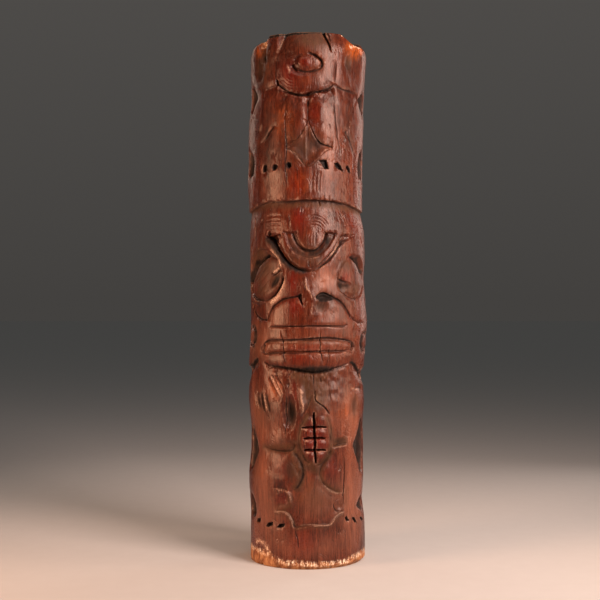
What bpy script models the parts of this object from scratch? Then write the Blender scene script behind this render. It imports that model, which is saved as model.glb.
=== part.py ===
"""A carved log post of two stacked figures, with a crested head over a wide-mouthed one.

The post is one log. Its carving is laid out as on a paper pattern wrapped round the wood: across is
the way round the log from the middle of the front, to the right of someone facing it, and up is the
height above the foot. The pattern is in millimetres of a log of the size it was drawn for, and it is
stretched to the log's own height and radius. How deep each form is cut is a real size.
"""

import math

import bmesh
import bpy
import numpy as np

# The log, in metres.
POST_HEIGHT = 1.200
POST_RADIUS = 0.134

# The size of log that the pattern was drawn for, in millimetres.
PATTERN_HEIGHT = 1200.0
PATTERN_RADIUS = 134.0
HALF_ROUND = math.pi * PATTERN_RADIUS

# Depths of the main cuts below the log's round, in metres.
NECK_GROOVE_DEPTH = 0.010
SNOUT_UNDERCUT = 0.010
STAR_DEPTH = 0.008
CREST_CHANNEL_DEPTH = 0.009
CREST_FIELD_DEPTH = 0.007
SOCKET_DEPTH = 0.013
EYEBALL_RISE = 0.010
MUZZLE_CUT_DEPTH = 0.010
MOUTH_DEPTH = 0.009
TONGUE_RISE = 0.006
CHIN_UNDERCUT = 0.015
SLOT_DEPTH = 0.010
LEAF_EDGE_DEPTH = 0.002
LEG_EDGE_DEPTH = 0.007
APRON_DEPTH = 0.005
CLAW_PIT_DEPTH = 0.009
LEFT_HOLLOW_DEPTH = 0.024
RIGHT_HOLLOW_DEPTH = 0.018
EAR_RING_DEPTH = 0.010
TOP_NOTCH_DEPTH = 0.026
HEWN_FACET_DEPTH = 0.0012

# The mesh of the carved round: grid spacing on the front and on the back, and how many triangles are kept.
FRONT_STEP = 1.5
BACK_STEP = 5.0
HEIGHT_STEP = 1.8
FRONT_HALF = 225.0
KEPT_TRIANGLES = 9600
SAW_ALLOWANCE = 8.0

STAINED_REDWOOD = (0.165, 0.040, 0.018, 1.0)

# Where the log bulges and narrows on its left and right side: heights and radii in the pattern.
LEFT_SIDE = (
    (0, 134), (50, 133), (95, 132.5), (140, 135.5), (200, 137), (250, 133), (310, 132.5), (370, 137),
    (450, 137), (510, 134.5), (560, 132.5), (680, 134.5), (770, 134.5), (830, 137.5), (890, 141),
    (950, 139), (1010, 136.5), (1070, 132.5), (1200, 132.5),
)
RIGHT_SIDE = (
    (0, 135.5), (60, 135.5), (100, 133.5), (140, 129.5), (200, 131), (260, 133), (310, 131), (370, 133),
    (425, 130), (470, 134), (510, 138), (550, 140), (590, 137), (650, 132.5), (700, 135.5), (760, 133),
    (800, 129), (850, 129), (910, 131), (960, 131), (1040, 133), (1100, 134.5), (1160, 137.5), (1200, 137),
)


def ease(share):
    """0 to 1 with no corner at either end."""
    share = np.clip(share, 0.0, 1.0)
    return share * share * (3.0 - 2.0 * share)


def straight(share):
    """A flat facet from the cut's bottom, at 0, to its rim, at 1."""
    return 1.0 - share


def rounded(share):
    """A form that swells over towards the cut, a quarter round."""
    return 1.0 - np.sqrt(np.clip(1.0 - (1.0 - share) ** 2, 0.0, 1.0))


def scooped(share):
    """A gouge's hollow: flat in the middle and steep at the rim."""
    return np.sqrt(np.clip(1.0 - share**2, 0.0, 1.0))


def coved(share):
    """A hollow flank that is steep at the cut and runs out level at the rim."""
    return (1.0 - share) ** 2


def curve(points, closed=False, steps=6):
    """A smooth line through the points, with that many pieces between each two."""
    points = np.asarray(points, float)
    if closed:
        ring = np.vstack([points[-1], points, points[:2]])
    else:
        ring = np.vstack([2 * points[0] - points[1], points, 2 * points[-1] - points[-2]])
    share = np.linspace(0.0, 1.0, steps, endpoint=False)[:, None]
    runs = [
        0.5 * (
            2 * b + (c - a) * share + (
                2 * a - 5 * b + 4 * c - d
            ) * share**2 + (3 * b - a - 3 * c + d) * share**3
        ) for a,
        b, c, d in zip(ring[:-3], ring[1:-2], ring[2:-1], ring[3:])
    ]
    return np.vstack([*runs, ring[-2]])


def measured_from(line, across, up):
    """How far each point lies from the line, on which side, and how far along.

    The side is 1 to the left of the way the line runs and -1 to its right. The line's length comes last.
    """
    nearest = np.full(across.shape, np.inf)
    side = np.zeros(across.shape)
    along = np.zeros(across.shape)
    passed = 0.0
    for (x0, z0), (x1, z1) in zip(line[:-1], line[1:]):
        dx, dz = x1 - x0, z1 - z0
        length = math.hypot(dx, dz)
        if length == 0.0:
            continue
        share = np.clip(((across - x0) * dx + (up - z0) * dz) / length**2, 0.0, 1.0)
        gap = np.hypot(across - x0 - share * dx, up - z0 - share * dz)
        closer = gap < nearest
        nearest = np.where(closer, gap, nearest)
        side = np.where(closer, np.sign(dx * (up - z0) - dz * (across - x0)), side)
        along = np.where(closer, passed + share * length, along)
        passed += length
    return nearest, side, along, passed


def inside_of(line, across, up):
    """Which points the closed line goes round."""
    within = np.zeros(across.shape, bool)
    for (x0, z0), (x1, z1) in zip(line[:-1], line[1:]):
        if z0 != z1:
            crosses = (z0 > up) != (z1 > up)
            within ^= crosses & (across < x0 + (up - z0) * (x1 - x0) / (z1 - z0))
    return within


class Carving:
    """How deep the wood is cut below the log's round, in metres, on a grid over the pattern."""

    def __init__(self, across, up):
        self.across = across
        self.up = up
        self.depth = np.zeros((len(up), len(across)))

    def patch(self, line, reach):
        """The part of the grid within reach of the line: its depths, a view, and its places."""
        low, high = line.min(axis=0) - reach, line.max(axis=0) + reach
        columns = slice(*np.searchsorted(self.across, (low[0], high[0])))
        rows = slice(*np.searchsorted(self.up, (low[1], high[1])))
        across, up = np.meshgrid(self.across[columns], self.up[rows])
        return self.depth[rows, columns], across, up

    def cut(self, line, depth, left, right, shapes=(straight, straight), ends=(0.0, 0.0)):
        """Cuts along a line. Left and right are how far each flank reaches, and ends how far it runs out."""
        patch, across, up = self.patch(line, max(left, right))
        if not patch.size:
            return
        gap, side, along, total = measured_from(line, across, up)
        flanks = [
            shape(np.clip(gap / max(reach, 1e-6), 0.0, 1.0)) for shape, reach in zip(shapes, (left, right))
        ]
        share = np.where(side >= 0, flanks[0] * (gap < left), flanks[1] * (gap < right))
        for way, run_out in ((along, ends[0]), (total - along, ends[1])):
            if run_out:
                share = share * ease(way / run_out)
        patch += depth * share

    def channel(self, line, depth, half_width, wall, ends=(0.0, 0.0)):
        """A flat-bottomed channel with walls that are this wide."""
        patch, across, up = self.patch(line, half_width)
        gap, _, along, total = measured_from(line, across, up)
        share = np.clip((half_width - gap) / wall, 0.0, 1.0)
        for way, run_out in ((along, ends[0]), (total - along, ends[1])):
            if run_out:
                share = share * np.clip(way / run_out, 0.0, 1.0)
        patch += depth * share

    def hollow(self, outline, depth, wall):
        """Lowers what the closed outline goes round, with walls that are this wide."""
        patch, across, up = self.patch(outline, 0.0)
        gap = measured_from(outline, across, up)[0]
        patch += depth * ease(gap / wall) * inside_of(outline, across, up)

    def swell(self, centre, radii, turn, rise, power=1.0):
        """Raises an oval dome, or with a negative rise sinks a dish. Turn is in degrees, to the left."""
        reach = max(radii)
        patch, across, up = self.patch(np.array([centre, centre]), reach)
        x, z = across - centre[0], up - centre[1]
        c, s = math.cos(math.radians(turn)), math.sin(math.radians(turn))
        out = ((x * c + z * s) / radii[0]) ** 2 + ((z * c - x * s) / radii[1]) ** 2
        patch -= rise * np.clip(1.0 - out, 0.0, 1.0) ** power


def carve_log_ends(work):
    """The worn rim of the top, its lower left and right corner, and the bruised edge of the foot."""
    up = work.up[:, None]
    crown = 0.010 * ease((up - 1168.0) / 38.0) ** 2
    foot_wear = 0.005 * ease((9.0 - up) / 9.0) * (1.0 + 0.6 * np.sin(work.across / PATTERN_RADIUS))
    work.depth += crown + foot_wear
    left_corner = curve(
        [(-107, 1215), (-108, 1192), (-130, 1188), (-165, 1186), (-200, 1184), (-222, 1190), (-224, 1215)],
        True
    )
    right_corner = curve(
        [
            (55, 1215), (84, 1201), (100, 1193), (114, 1185), (131, 1182), (165, 1182), (200, 1184),
            (222, 1215)
        ],
        True
    )
    work.hollow(left_corner, TOP_NOTCH_DEPTH, 9.0)
    work.hollow(right_corner, TOP_NOTCH_DEPTH, 14.0)


def carve_crest_head(work):
    """The upper figure's head: a blunt snout between two ear blocks, with one almond eye."""
    snout_edge = curve(
        [
            (-77, 1096), (-73, 1085), (-62, 1075), (-48, 1067), (-30, 1063), (-10, 1060), (2, 1062),
            (12, 1066), (25, 1069), (38, 1070.5), (52, 1075), (60, 1081), (66, 1090)
        ]
    )
    snout_shadow = curve(
        [(-76, 1076), (-48, 1067), (-30, 1063), (-10, 1060), (12, 1066), (38, 1070.5), (68, 1077)]
    )
    work.cut(snout_edge, SNOUT_UNDERCUT * 0.5, 3.5, 6.0, ends=(8.0, 8.0))
    work.cut(snout_shadow, SNOUT_UNDERCUT, 3.5, 60.0, (rounded, straight), (14.0, 12.0))
    work.cut(snout_edge, 0.006, 26.0, 0.0, (rounded, straight), (10.0, 10.0))
    left_cheek = curve([(-75, 1086), (-92, 1081), (-112, 1078), (-134, 1079), (-152, 1085), (-170, 1096)])
    right_cheek = curve(
        [(64, 1086), (73, 1080), (86, 1075.5), (101, 1073.5), (117, 1072), (131, 1068), (145, 1058)]
    )
    work.cut(left_cheek, 0.007, 34.0, 16.0, (straight, rounded), (10.0, 8.0))
    work.cut(right_cheek, 0.008, 10.0, 36.0, (rounded, straight), (10.0, 4.0))
    work.cut(
        curve([(-74, 1152), (-77, 1125), (-76, 1100), (-73, 1084)]), 0.009, 22.0, 12.0, (straight, rounded),
        (24.0, 6.0)
    )
    work.cut(
        curve([(66, 1150), (67, 1115), (66, 1086)]), 0.004, 8.0, 16.0, (rounded, straight), (30.0, 4.0)
    )
    work.cut(
        curve([(-62, 1212), (-66, 1185), (-73, 1148)]), 0.014, 9.0, 14.0, (straight, rounded), (0.0, 40.0)
    )
    work.cut(
        curve([(40, 1212), (45, 1190), (50, 1172), (55, 1150)]), 0.014, 6.0, 9.0, (rounded, straight),
        (0.0, 36.0)
    )
    work.swell((-128, 1142), (34, 66), -4, -0.009)
    pocket = curve(
        [(-132, 1190), (-116, 1189), (-108, 1170), (-107, 1146), (-116, 1136), (-126, 1152), (-134, 1172)],
        True
    )
    work.hollow(pocket, 0.009, 10.0)
    work.swell((118, 1132), (34, 60), 8, -0.006)
    work.swell((-4, 1134), (58, 40), 0, 0.005)
    ring = curve(
        [
            (-38, 1116), (-31, 1109), (-15, 1110), (2, 1112), (18, 1114), (29, 1120), (34, 1131),
            (30, 1141), (18, 1148), (4, 1153), (-12, 1152)
        ]
    )
    work.cut(ring, 0.009, 12.0, 4.0, (rounded, straight), (6.0, 22.0))
    work.cut(
        curve([(-38, 1116), (-36, 1128), (-28, 1140), (-14, 1149)]), 0.004, 8.0, 10.0, (straight, rounded),
        (3.0, 10.0)
    )
    work.swell((-33, 1114), (9, 7), 30, -0.006)


def carve_upper_body(work):
    """The upper figure's folded limbs, the star-shaped opening between them, and its claws."""
    work.cut(
        curve([(-4, 1062), (-3, 1040), (-2, 1018), (1, 992)]), 0.010, 30.0, 20.0, (rounded, straight),
        (3.0, 30.0)
    )
    work.cut(
        curve([(-58, 1066), (-52, 1020), (-50, 980), (-52, 952)]), 0.003, 26.0, 34.0, (rounded, rounded),
        (10.0, 16.0)
    )
    upper_right = curve([(0, 1002), (5, 984), (13, 969), (25, 957), (40, 948), (59, 942)])
    lower_left = curve([(-60, 945), (-42, 935), (-28, 926), (-14, 912), (-2, 897)])
    upper_left = curve([(-60, 945), (-38, 954), (-20, 966), (-9, 981), (0, 1002)])
    lower_right = curve([(-2, 897), (10, 909), (22, 922), (38, 934), (59, 942)])
    star = np.vstack([upper_right, lower_right[::-1], lower_left[::-1], upper_left])
    work.hollow(star, STAR_DEPTH, 13.0)
    work.cut(upper_right, 0.006, 2.5, 22.0, (straight, coved), (12.0, 6.0))
    work.cut(lower_left, 0.006, 20.0, 2.5, (coved, straight), (8.0, 10.0))
    for edge, left, right in (
        (upper_right, 22.0, 0.0), (lower_left, 0.0, 20.0), (upper_left, 18.0, 0.0), (lower_right, 0.0, 16.0)
    ):
        work.cut(edge, 0.003, left, right, (rounded, rounded), (10.0, 10.0))
    work.cut(curve([(-4, 990), (-5, 950), (-3, 912)]), -0.005, 13.0, 13.0, ends=(20.0, 12.0))
    work.cut(curve([(25, 926), (20, 905), (17, 868), (15, 840)]), 0.0035, 8.0, 7.0, ends=(14.0, 24.0))
    work.cut(
        curve([(31, 1066), (34, 1030), (42, 985), (56, 948)]), 0.002, 24.0, 8.0, (rounded, rounded),
        (10.0, 10.0)
    )
    work.cut(
        curve([(-80, 992), (-95, 976), (-106, 965), (-122, 955), (-143, 947)]), 0.006, 12.0, 24.0,
        (straight, rounded), (16.0, 20.0)
    )
    work.cut(
        curve([(84, 992), (100, 974), (112, 960), (122, 944), (134, 925)]), 0.005, 22.0, 12.0,
        (rounded, straight), (22.0, 16.0)
    )
    claws = [
        [(-104, 911), (-96, 902), (-97, 894), (-112, 893), (-111, 903)],
        [(-82, 909), (-73, 909), (-70, 902), (-74, 895), (-84, 896)],
        [(-47, 911), (-38, 911), (-37, 903), (-42, 898), (-48, 903)],
        [(27, 912), (40, 917), (45, 906), (46, 898), (37, 899), (33, 907)],
        [(66, 908), (73, 912), (82, 903), (86, 894), (77, 897)],
        [(98, 904), (105, 907), (111, 893), (104, 896)],
    ]
    for claw in claws:
        work.hollow(np.array([*claw, claw[0]], float), CLAW_PIT_DEPTH, 3.5)


def carve_neck_groove(work):
    """The groove round the whole log between the figures: a stop cut above and a long slope below."""
    line = np.array(
        [
            (-HALF_ROUND, 803), (-190, 803), (-150, 810), (-95, 821), (-45, 820), (20, 822), (60, 820),
            (100, 816), (140, 809), (175, 803), (HALF_ROUND, 803)
        ]
    )
    level = np.interp(work.across, line[:, 0], line[:, 1])
    below = level - work.up[:, None]
    slope = straight(np.clip(below / 46.0, 0.0, 1.0)) ** 1.4
    wall = straight(np.clip(-below / 3.5, 0.0, 1.0))
    share = 0.50 + 0.50 * np.cos(np.clip(work.across / PATTERN_RADIUS, -1.2, 1.2))
    work.depth += NECK_GROOVE_DEPTH * share * np.where(below > 0, slope, wall)


def carve_forehead_crest(work):
    """Three nested U shapes on the lower figure's forehead: a channel, a band, and a field round a tongue."""
    channel = curve(
        [
            (-92, 741), (-80, 733), (-66, 715), (-55, 699), (-45, 686), (-33, 675), (-18, 667), (-4, 664),
            (9, 663), (22, 667), (36, 674), (50, 685), (62, 698), (73, 712), (85, 727), (100, 739),
            (114, 745)
        ]
    )
    work.channel(channel, CREST_CHANNEL_DEPTH, 6.5, 3.0, (3.0, 6.0))
    work.channel(channel[:44], CREST_CHANNEL_DEPTH * 0.45, 5.0, 3.0, (3.0, 50.0))
    left_wedge = np.array(
        [(-102, 743), (-84, 748), (-66, 750), (-65, 738), (-73, 724), (-86, 736), (-102, 743)], float
    )
    right_wedge = np.array(
        [(80, 748), (101, 747), (123, 749), (112, 742), (97, 734), (82, 718), (76, 727), (80, 748)], float
    )
    work.hollow(left_wedge, CREST_CHANNEL_DEPTH * 0.9, 3.0)
    work.hollow(right_wedge, CREST_CHANNEL_DEPTH * 0.6, 4.0)
    outer = curve(
        [
            (-57, 752), (-52, 733), (-43, 714), (-30, 700), (-13, 692), (6, 689.5), (22, 693), (37, 702),
            (51, 716), (61, 731), (69, 749)
        ]
    )
    tongue = curve(
        [
            (42, 753), (36, 739), (29, 726), (19, 716), (8, 712), (-4, 717), (-14, 727), (-21, 739),
            (-27, 753)
        ]
    )
    work.hollow(np.vstack([outer, tongue, outer[:1]]), CREST_FIELD_DEPTH, 12.0)
    deep = curve(
        [
            (47, 750), (41, 735), (33, 721), (21, 710), (7, 706), (-8, 711), (-20, 722), (-27, 735),
            (-33, 750)
        ]
    )
    work.channel(deep, 0.005, 7.0, 5.0, (2.0, 2.0))
    work.cut(np.array([(-59, 752), (-26, 753)], float), 0.003, 1.5, 10.0, (straight, coved), (2.0, 2.0))
    work.cut(np.array([(41, 754), (70, 750)], float), 0.003, 1.5, 10.0, (straight, coved), (2.0, 2.0))
    work.swell((8, 728), (20, 34), 0, 0.002)


def carve_eyes(work):
    """Two deep sockets at the corners of the lower face, each with a big tilted eyeball and a lid line."""
    left_socket = curve(
        [
            (-176, 650), (-170, 682), (-158, 704), (-136, 714), (-110, 713), (-88, 706), (-72, 692),
            (-62, 670), (-57, 648), (-64, 626), (-79, 610), (-100, 600), (-128, 599), (-153, 606),
            (-170, 624)
        ],
        True
    )
    right_socket = curve(
        [
            (178, 648), (172, 670), (157, 690), (137, 700), (113, 702), (93, 694), (76, 678), (67, 656),
            (71, 634), (83, 614), (99, 601), (125, 596), (152, 603), (171, 622)
        ],
        True
    )
    for socket, ball, turn, corner in (
        (left_socket, (-121, 648), 38, (-76, 646)), (right_socket, (126, 643), -34, (90, 629)),
    ):
        work.hollow(socket, SOCKET_DEPTH, 10.0)
        work.swell(ball, (62, 43), turn, EYEBALL_RISE, 0.5)
        work.swell(corner, (21, 13), turn + 20, -0.005)
    work.cut(curve([(-103, 701), (-114, 692), (-124, 682)]), 0.004, 4.0, 4.0, ends=(5.0, 5.0))
    work.cut(
        curve([(-120, 696), (-131, 688), (-140, 676), (-152, 663), (-168, 648)]), 0.007, 7.0, 5.0,
        ends=(8.0, 14.0)
    )
    work.cut(curve([(-176, 628), (-165, 619), (-150, 609), (-130, 601)]), 0.005, 7.0, 4.0, ends=(8.0, 10.0))
    work.cut(curve([(-61, 680), (-74, 671), (-88, 660)]), -0.008, 5.5, 5.5, ends=(6.0, 5.0))
    work.cut(curve([(112, 697), (132, 690), (151, 679), (168, 662)]), 0.006, 5.0, 9.0, ends=(12.0, 10.0))
    for side, left, right in (
        (curve([(-90, 722), (-74, 705), (-62, 684), (-56, 650), (-66, 622), (-88, 603)]), 0.0, 16.0),
        (curve([(92, 696), (74, 680), (65, 656), (70, 630), (88, 606)]), 14.0, 0.0),
    ):
        work.cut(side, 0.003, right, left, (rounded, rounded), (12.0, 12.0))
    work.cut(
        curve([(-178, 592), (-161, 577), (-145, 565), (-125, 556), (-106, 552), (-93, 556)]), 0.005, 24.0,
        6.0, (rounded, straight), (14.0, 8.0)
    )
    work.cut(
        curve([(112, 560), (130, 552), (150, 549), (172, 552)]), 0.004, 22.0, 6.0, (rounded, straight),
        (8.0, 14.0)
    )


def carve_muzzle(work):
    """The broad muzzle: a nose ridge, a stop cut over each nostril, and the line over the upper lip."""
    left_arc = curve(
        [
            (-92, 552), (-95, 568), (-92, 583), (-82, 596), (-70, 603), (-55, 607.5), (-38, 609.5),
            (-23, 612), (-14, 616)
        ]
    )
    right_arc = curve(
        [
            (14, 606), (22, 613), (36, 616.5), (52, 611.5), (66, 605), (80, 597), (92, 586), (102, 573),
            (106, 562), (100, 551)
        ]
    )
    work.cut(left_arc, MUZZLE_CUT_DEPTH, 3.5, 34.0, (straight, rounded), (8.0, 5.0))
    work.cut(right_arc, MUZZLE_CUT_DEPTH, 3.5, 34.0, (straight, rounded), (8.0, 10.0))
    work.cut(left_arc, 0.003, 22.0, 0.0, (rounded, straight), (20.0, 10.0))
    work.cut(right_arc, 0.003, 22.0, 0.0, (rounded, straight), (10.0, 20.0))
    work.cut(curve([(102, 575), (113, 562), (126, 555), (145, 551)]), 0.004, 5.0, 8.0, ends=(4.0, 12.0))
    work.cut(curve([(-23, 612), (-20, 601), (-11, 583)]), 0.008, 4.0, 18.0, (straight, rounded), (3.0, 8.0))
    work.swell((36, 597), (20, 19), -8, -0.006)
    work.cut(curve([(-1, 662), (1, 610), (4, 556)]), -0.003, 12.0, 12.0, (scooped, scooped), (24.0, 16.0))
    for across in (-17, 20):
        work.cut(
            curve([(across * 1.3, 660), (across, 630), (across, 600), (across * 1.3, 566)]), 0.003, 10.0,
            10.0, (rounded, rounded), (16.0, 16.0)
        )
    lip_line = curve([(-93, 546), (-66, 541.5), (0, 543), (50, 543), (80, 541.5), (92, 547)])
    work.cut(lip_line, 0.004, 2.5, 2.5, ends=(4.0, 4.0))
    work.cut(lip_line, 0.003, 12.0, 10.0, (rounded, rounded), (4.0, 4.0))


def carve_mouth(work):
    """The wide mouth: a sunk slot with a tongue in it, and a lower lip that overhangs the chest."""
    upper = [
        (-119, 486), (-117, 495), (-108, 503), (-93, 511.5), (-60, 512), (-30, 512.5), (0, 514.5),
        (20, 516), (40, 516), (62, 514), (82, 511), (102, 507), (116, 502), (122, 493)
    ]
    lower = [(114, 482.5), (70, 483), (40, 482.5), (0, 481.5), (-40, 481), (-75, 481.5), (-108, 479)]
    slot = curve(upper + lower, True)
    work.cut(slot, 0.002, 12.0, 0.0, (rounded, straight))
    work.hollow(slot, MOUTH_DEPTH, 4.0)
    work.cut(
        curve([(-103, 497), (-50, 498.5), (0, 499.5), (50, 500), (106, 496)]), -TONGUE_RISE, 11.5, 12.5,
        (scooped, scooped)
    )
    work.cut(curve([(-108, 482), (0, 484), (112, 485)]), 0.002, 4.0, 3.0, ends=(8.0, 8.0))
    chin = curve(
        [
            (-112, 463), (-97, 454), (-62, 450.5), (-30, 446.5), (0, 442.5), (20, 441.5), (45, 445),
            (70, 449), (94, 453), (106, 462)
        ]
    )
    chest_slope = curve(
        [(-116, 452), (-62, 450.5), (-30, 446.5), (0, 442.5), (20, 441.5), (45, 445), (70, 449), (112, 453)]
    )
    work.cut(chest_slope, CHIN_UNDERCUT * 0.7, 4.5, 78.0, (rounded, straight), (44.0, 40.0))
    work.cut(chin, CHIN_UNDERCUT * 0.4, 4.5, 16.0, (rounded, coved), (16.0, 16.0))
    work.cut(chin, 0.005, 20.0, 0.0, (rounded, straight), (10.0, 10.0))
    work.cut(
        curve([(-112, 463), (-97, 454), (-62, 450.5), (-30, 446.5)]), 0.004, 3.0, 14.0, ends=(4.0, 20.0)
    )


def carve_jaw_sides(work):
    """An ear boss on each side of the lower head, and the cut under the jaw that runs round the side."""
    angles = np.linspace(0.0, 2.0 * math.pi, 49)
    for across, up in ((-181, 518), (183, 505)):
        ring = np.column_stack([across + 38 * np.cos(angles), up + 21 * np.sin(angles)])
        work.cut(ring, EAR_RING_DEPTH, 12.0, 5.0, (rounded, straight))
    left_jaw = curve([(-131, 469), (-149, 461), (-165, 452), (-186, 445), (-216, 441)])
    right_jaw = curve([(106, 462), (125, 455.5), (140, 446), (157, 436), (190, 432)])
    work.cut(left_jaw, 0.009, 22.0, 5.0, (straight, rounded), (6.0, 10.0))
    work.cut(right_jaw, 0.008, 5.0, 20.0, (rounded, straight), (6.0, 10.0))
    left_neck = curve(
        [
            (-163, 446), (-176, 418), (-196, 403), (-220, 400), (-240, 412), (-243, 436), (-220, 448),
            (-186, 449)
        ],
        True
    )
    right_neck = curve(
        [(158, 436), (172, 417), (190, 405), (215, 401), (236, 413), (238, 434), (210, 446), (180, 446)],
        True
    )
    work.hollow(left_neck, LEFT_HOLLOW_DEPTH * 0.7, 9.0)
    work.hollow(right_neck, RIGHT_HOLLOW_DEPTH * 0.8, 9.0)


def carve_side_hollows(work):
    """The deep hollows down both sides, which free the figures' outlines from the back of the log."""
    left = [
        [
            (-143, 1062), (-158, 1078), (-176, 1091), (-196, 1096), (-209, 1084), (-212, 1060),
            (-207, 1035), (-190, 1023), (-172, 1033), (-155, 1048)
        ],
        [
            (-147, 905), (-149, 921), (-160, 934), (-178, 946), (-198, 952), (-211, 940), (-214, 910),
            (-209, 888), (-190, 881), (-165, 882), (-151, 889)
        ],
        [
            (-137, 262), (-146, 280), (-160, 297), (-178, 312), (-196, 322), (-209, 310), (-213, 262),
            (-207, 215), (-190, 203), (-170, 214), (-155, 230), (-143, 246)
        ],
        [
            (-147, 125), (-152, 141), (-165, 151), (-185, 156), (-204, 150), (-211, 128), (-206, 105),
            (-188, 96), (-166, 98), (-151, 109)
        ],
    ]
    right = [
        [
            (143, 1057), (157, 1071), (178, 1081), (200, 1084), (212, 1068), (213, 1045), (203, 1030),
            (182, 1027), (160, 1039)
        ],
        [
            (147, 905), (151, 925), (162, 940), (182, 948), (202, 944), (213, 925), (213, 900), (203, 880),
            (180, 875), (158, 881)
        ],
        [
            (122, 270), (132, 285), (146, 302), (162, 320), (180, 333), (200, 329), (212, 300), (213, 250),
            (203, 212), (182, 200), (162, 208), (150, 224), (138, 243), (127, 259)
        ],
        [(143, 130), (155, 141), (175, 150), (198, 150), (210, 133), (203, 116), (182, 111), (160, 119)],
    ]
    for outlines, depth in ((left, LEFT_HOLLOW_DEPTH), (right, RIGHT_HOLLOW_DEPTH)):
        for points in outlines:
            outline = curve(points, True)
            work.hollow(outline, depth, 9.0)
            work.cut(outline, 0.005, 20.0, 20.0, (rounded, rounded))


def carve_chest(work):
    """The lower figure's chest and arms: shoulder facets, a hand on the left, and the hollow between."""
    work.cut(
        curve([(-50, 432), (-46, 390), (-42, 350), (-48, 300)]), 0.006, 26.0, 34.0, (rounded, rounded),
        (26.0, 30.0)
    )
    work.cut(
        curve([(60, 428), (60, 380), (66, 330), (72, 285)]), 0.004, 30.0, 26.0, (rounded, rounded),
        (26.0, 20.0)
    )
    work.swell((-38, 352), (17, 32), 4, -0.005)
    work.cut(
        curve([(-16, 418), (-17, 396), (-15, 373), (-12, 350), (-17, 330)]), -0.004, 5.0, 14.0,
        ends=(14.0, 12.0)
    )
    panel = curve([(-14, 342), (-3, 362), (12, 404), (24, 372), (42, 356), (56, 340)])
    work.cut(panel, 0.004, 3.0, 10.0, ends=(8.0, 8.0))
    work.cut(curve([(-97, 438), (-80, 410), (-62, 384)]), -0.004, 6.0, 18.0, ends=(10.0, 14.0))
    for across, up, depth in (
        (-139, 372, 0.003), (-127, 374, 0.004), (-114, 371, 0.006), (-99, 364, 0.006)
    ):
        work.cut(
            curve([(across - 7, up + 20), (across, up), (across + 6, up - 22)]), depth, 4.5, 4.5,
            ends=(10.0, 12.0)
        )
    left_elbow = curve(
        [(-126, 268), (-105, 264), (-80, 262), (-58, 260), (-45, 259), (-36, 266), (-29, 280)]
    )
    right_elbow = curve([(58, 268), (70, 270), (86, 271), (106, 276)])
    work.cut(left_elbow, 0.009, 26.0, 16.0, (rounded, rounded), (22.0, 10.0))
    work.cut(right_elbow, 0.008, 26.0, 10.0, (rounded, rounded), (8.0, 16.0))
    work.cut(curve([(100, 274), (114, 272), (128, 270)]), 0.003, 16.0, 12.0, (rounded, rounded), (8.0, 4.0))
    work.swell((78, 283), (16, 10), 0, -0.004)
    work.cut(
        curve([(112, 388), (128, 395), (150, 400), (164, 398)]), 0.004, 5.0, 24.0, (straight, rounded),
        (10.0, 8.0)
    )


def carve_lattice(work):
    """A leaf-shaped panel on the belly, crossed by one upright slot and three level ones on each side."""
    leaf = curve(
        [
            (12, 372), (-1, 356), (-8, 343), (-15, 328), (-21, 308), (-22, 288), (-18, 268), (-9, 250),
            (3, 238), (14, 232), (28, 240), (42, 254), (52, 274), (57, 298), (55, 320), (48, 338),
            (36, 354), (22, 366)
        ],
        True
    )
    work.cut(leaf, LEAF_EDGE_DEPTH, 12.0, 9.0, (rounded, coved))
    middle = 15.0
    work.channel(np.array([(middle, 349), (middle, 236)], float), SLOT_DEPTH, 3.6, 1.8, (3.0, 10.0))
    for up, left_end, right_end in ((316.5, -12, 45), (293.5, -11, 41), (266.0, -11, 43)):
        slot = np.array([(left_end, up - 0.5), (middle, up), (right_end, up + 0.5)], float)
        work.channel(slot, SLOT_DEPTH * 0.75, 2.6, 1.5, (3.0, 3.0))
        work.cut(slot, 0.0025, 8.0, 8.0, (rounded, rounded), (6.0, 6.0))


def carve_legs(work):
    """The lower figure's bent legs, and the sunk apron between them down to the ridge over the feet."""
    left_leg = curve(
        [(-40, 263), (-27, 249), (-16, 233), (-9, 217), (-9, 204), (-15, 190), (-26, 179), (-40, 173)]
    )
    right_leg = curve(
        [
            (60, 264), (45, 245), (33, 228), (27, 213), (31, 199), (40, 188), (53, 178), (68, 171),
            (84, 168), (97, 169)
        ]
    )
    work.cut(left_leg, LEG_EDGE_DEPTH, 14.0, 36.0, (straight, rounded), (6.0, 10.0))
    work.cut(right_leg, LEG_EDGE_DEPTH, 36.0, 14.0, (rounded, straight), (10.0, 12.0))
    apron = curve(
        [
            (10, 236), (-4, 222), (-9, 204), (-18, 186), (-34, 174), (-37, 152), (-41, 132), (-36, 113),
            (-28, 96), (-8, 97), (12, 101), (32, 101), (51, 101), (62, 112), (80, 121), (93, 127),
            (93, 148), (88, 166), (66, 171), (46, 183), (32, 198), (27, 214), (20, 228)
        ],
        True
    )
    work.hollow(apron, APRON_DEPTH, 9.0)
    ridge = curve(
        [
            (-80, 120), (-62, 124), (-47, 122), (-38, 114), (-32, 104), (-27, 93), (-10, 95.5), (10, 100),
            (30, 100.5), (50, 100), (59, 109), (70, 117), (82, 121), (96, 126)
        ]
    )
    work.cut(ridge, 0.006, 30.0, 3.5, (straight, straight), (20.0, 20.0))
    ankle = curve(
        [(-82, 150), (-73, 169), (-53, 175), (-38, 170), (-37, 150), (-43, 136), (-60, 129), (-77, 133)],
        True
    )
    work.hollow(ankle, 0.008, 16.0)
    work.cut(
        curve([(-84, 178), (-60, 181), (-40, 177)]), 0.003, 16.0, 6.0, (rounded, straight), (14.0, 8.0)
    )
    knot = curve([(64, 140), (69, 150), (80, 152), (88, 143), (87, 131), (78, 125), (68, 129)], True)
    work.cut(knot, 0.005, 5.0, 9.0, (straight, rounded))


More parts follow.
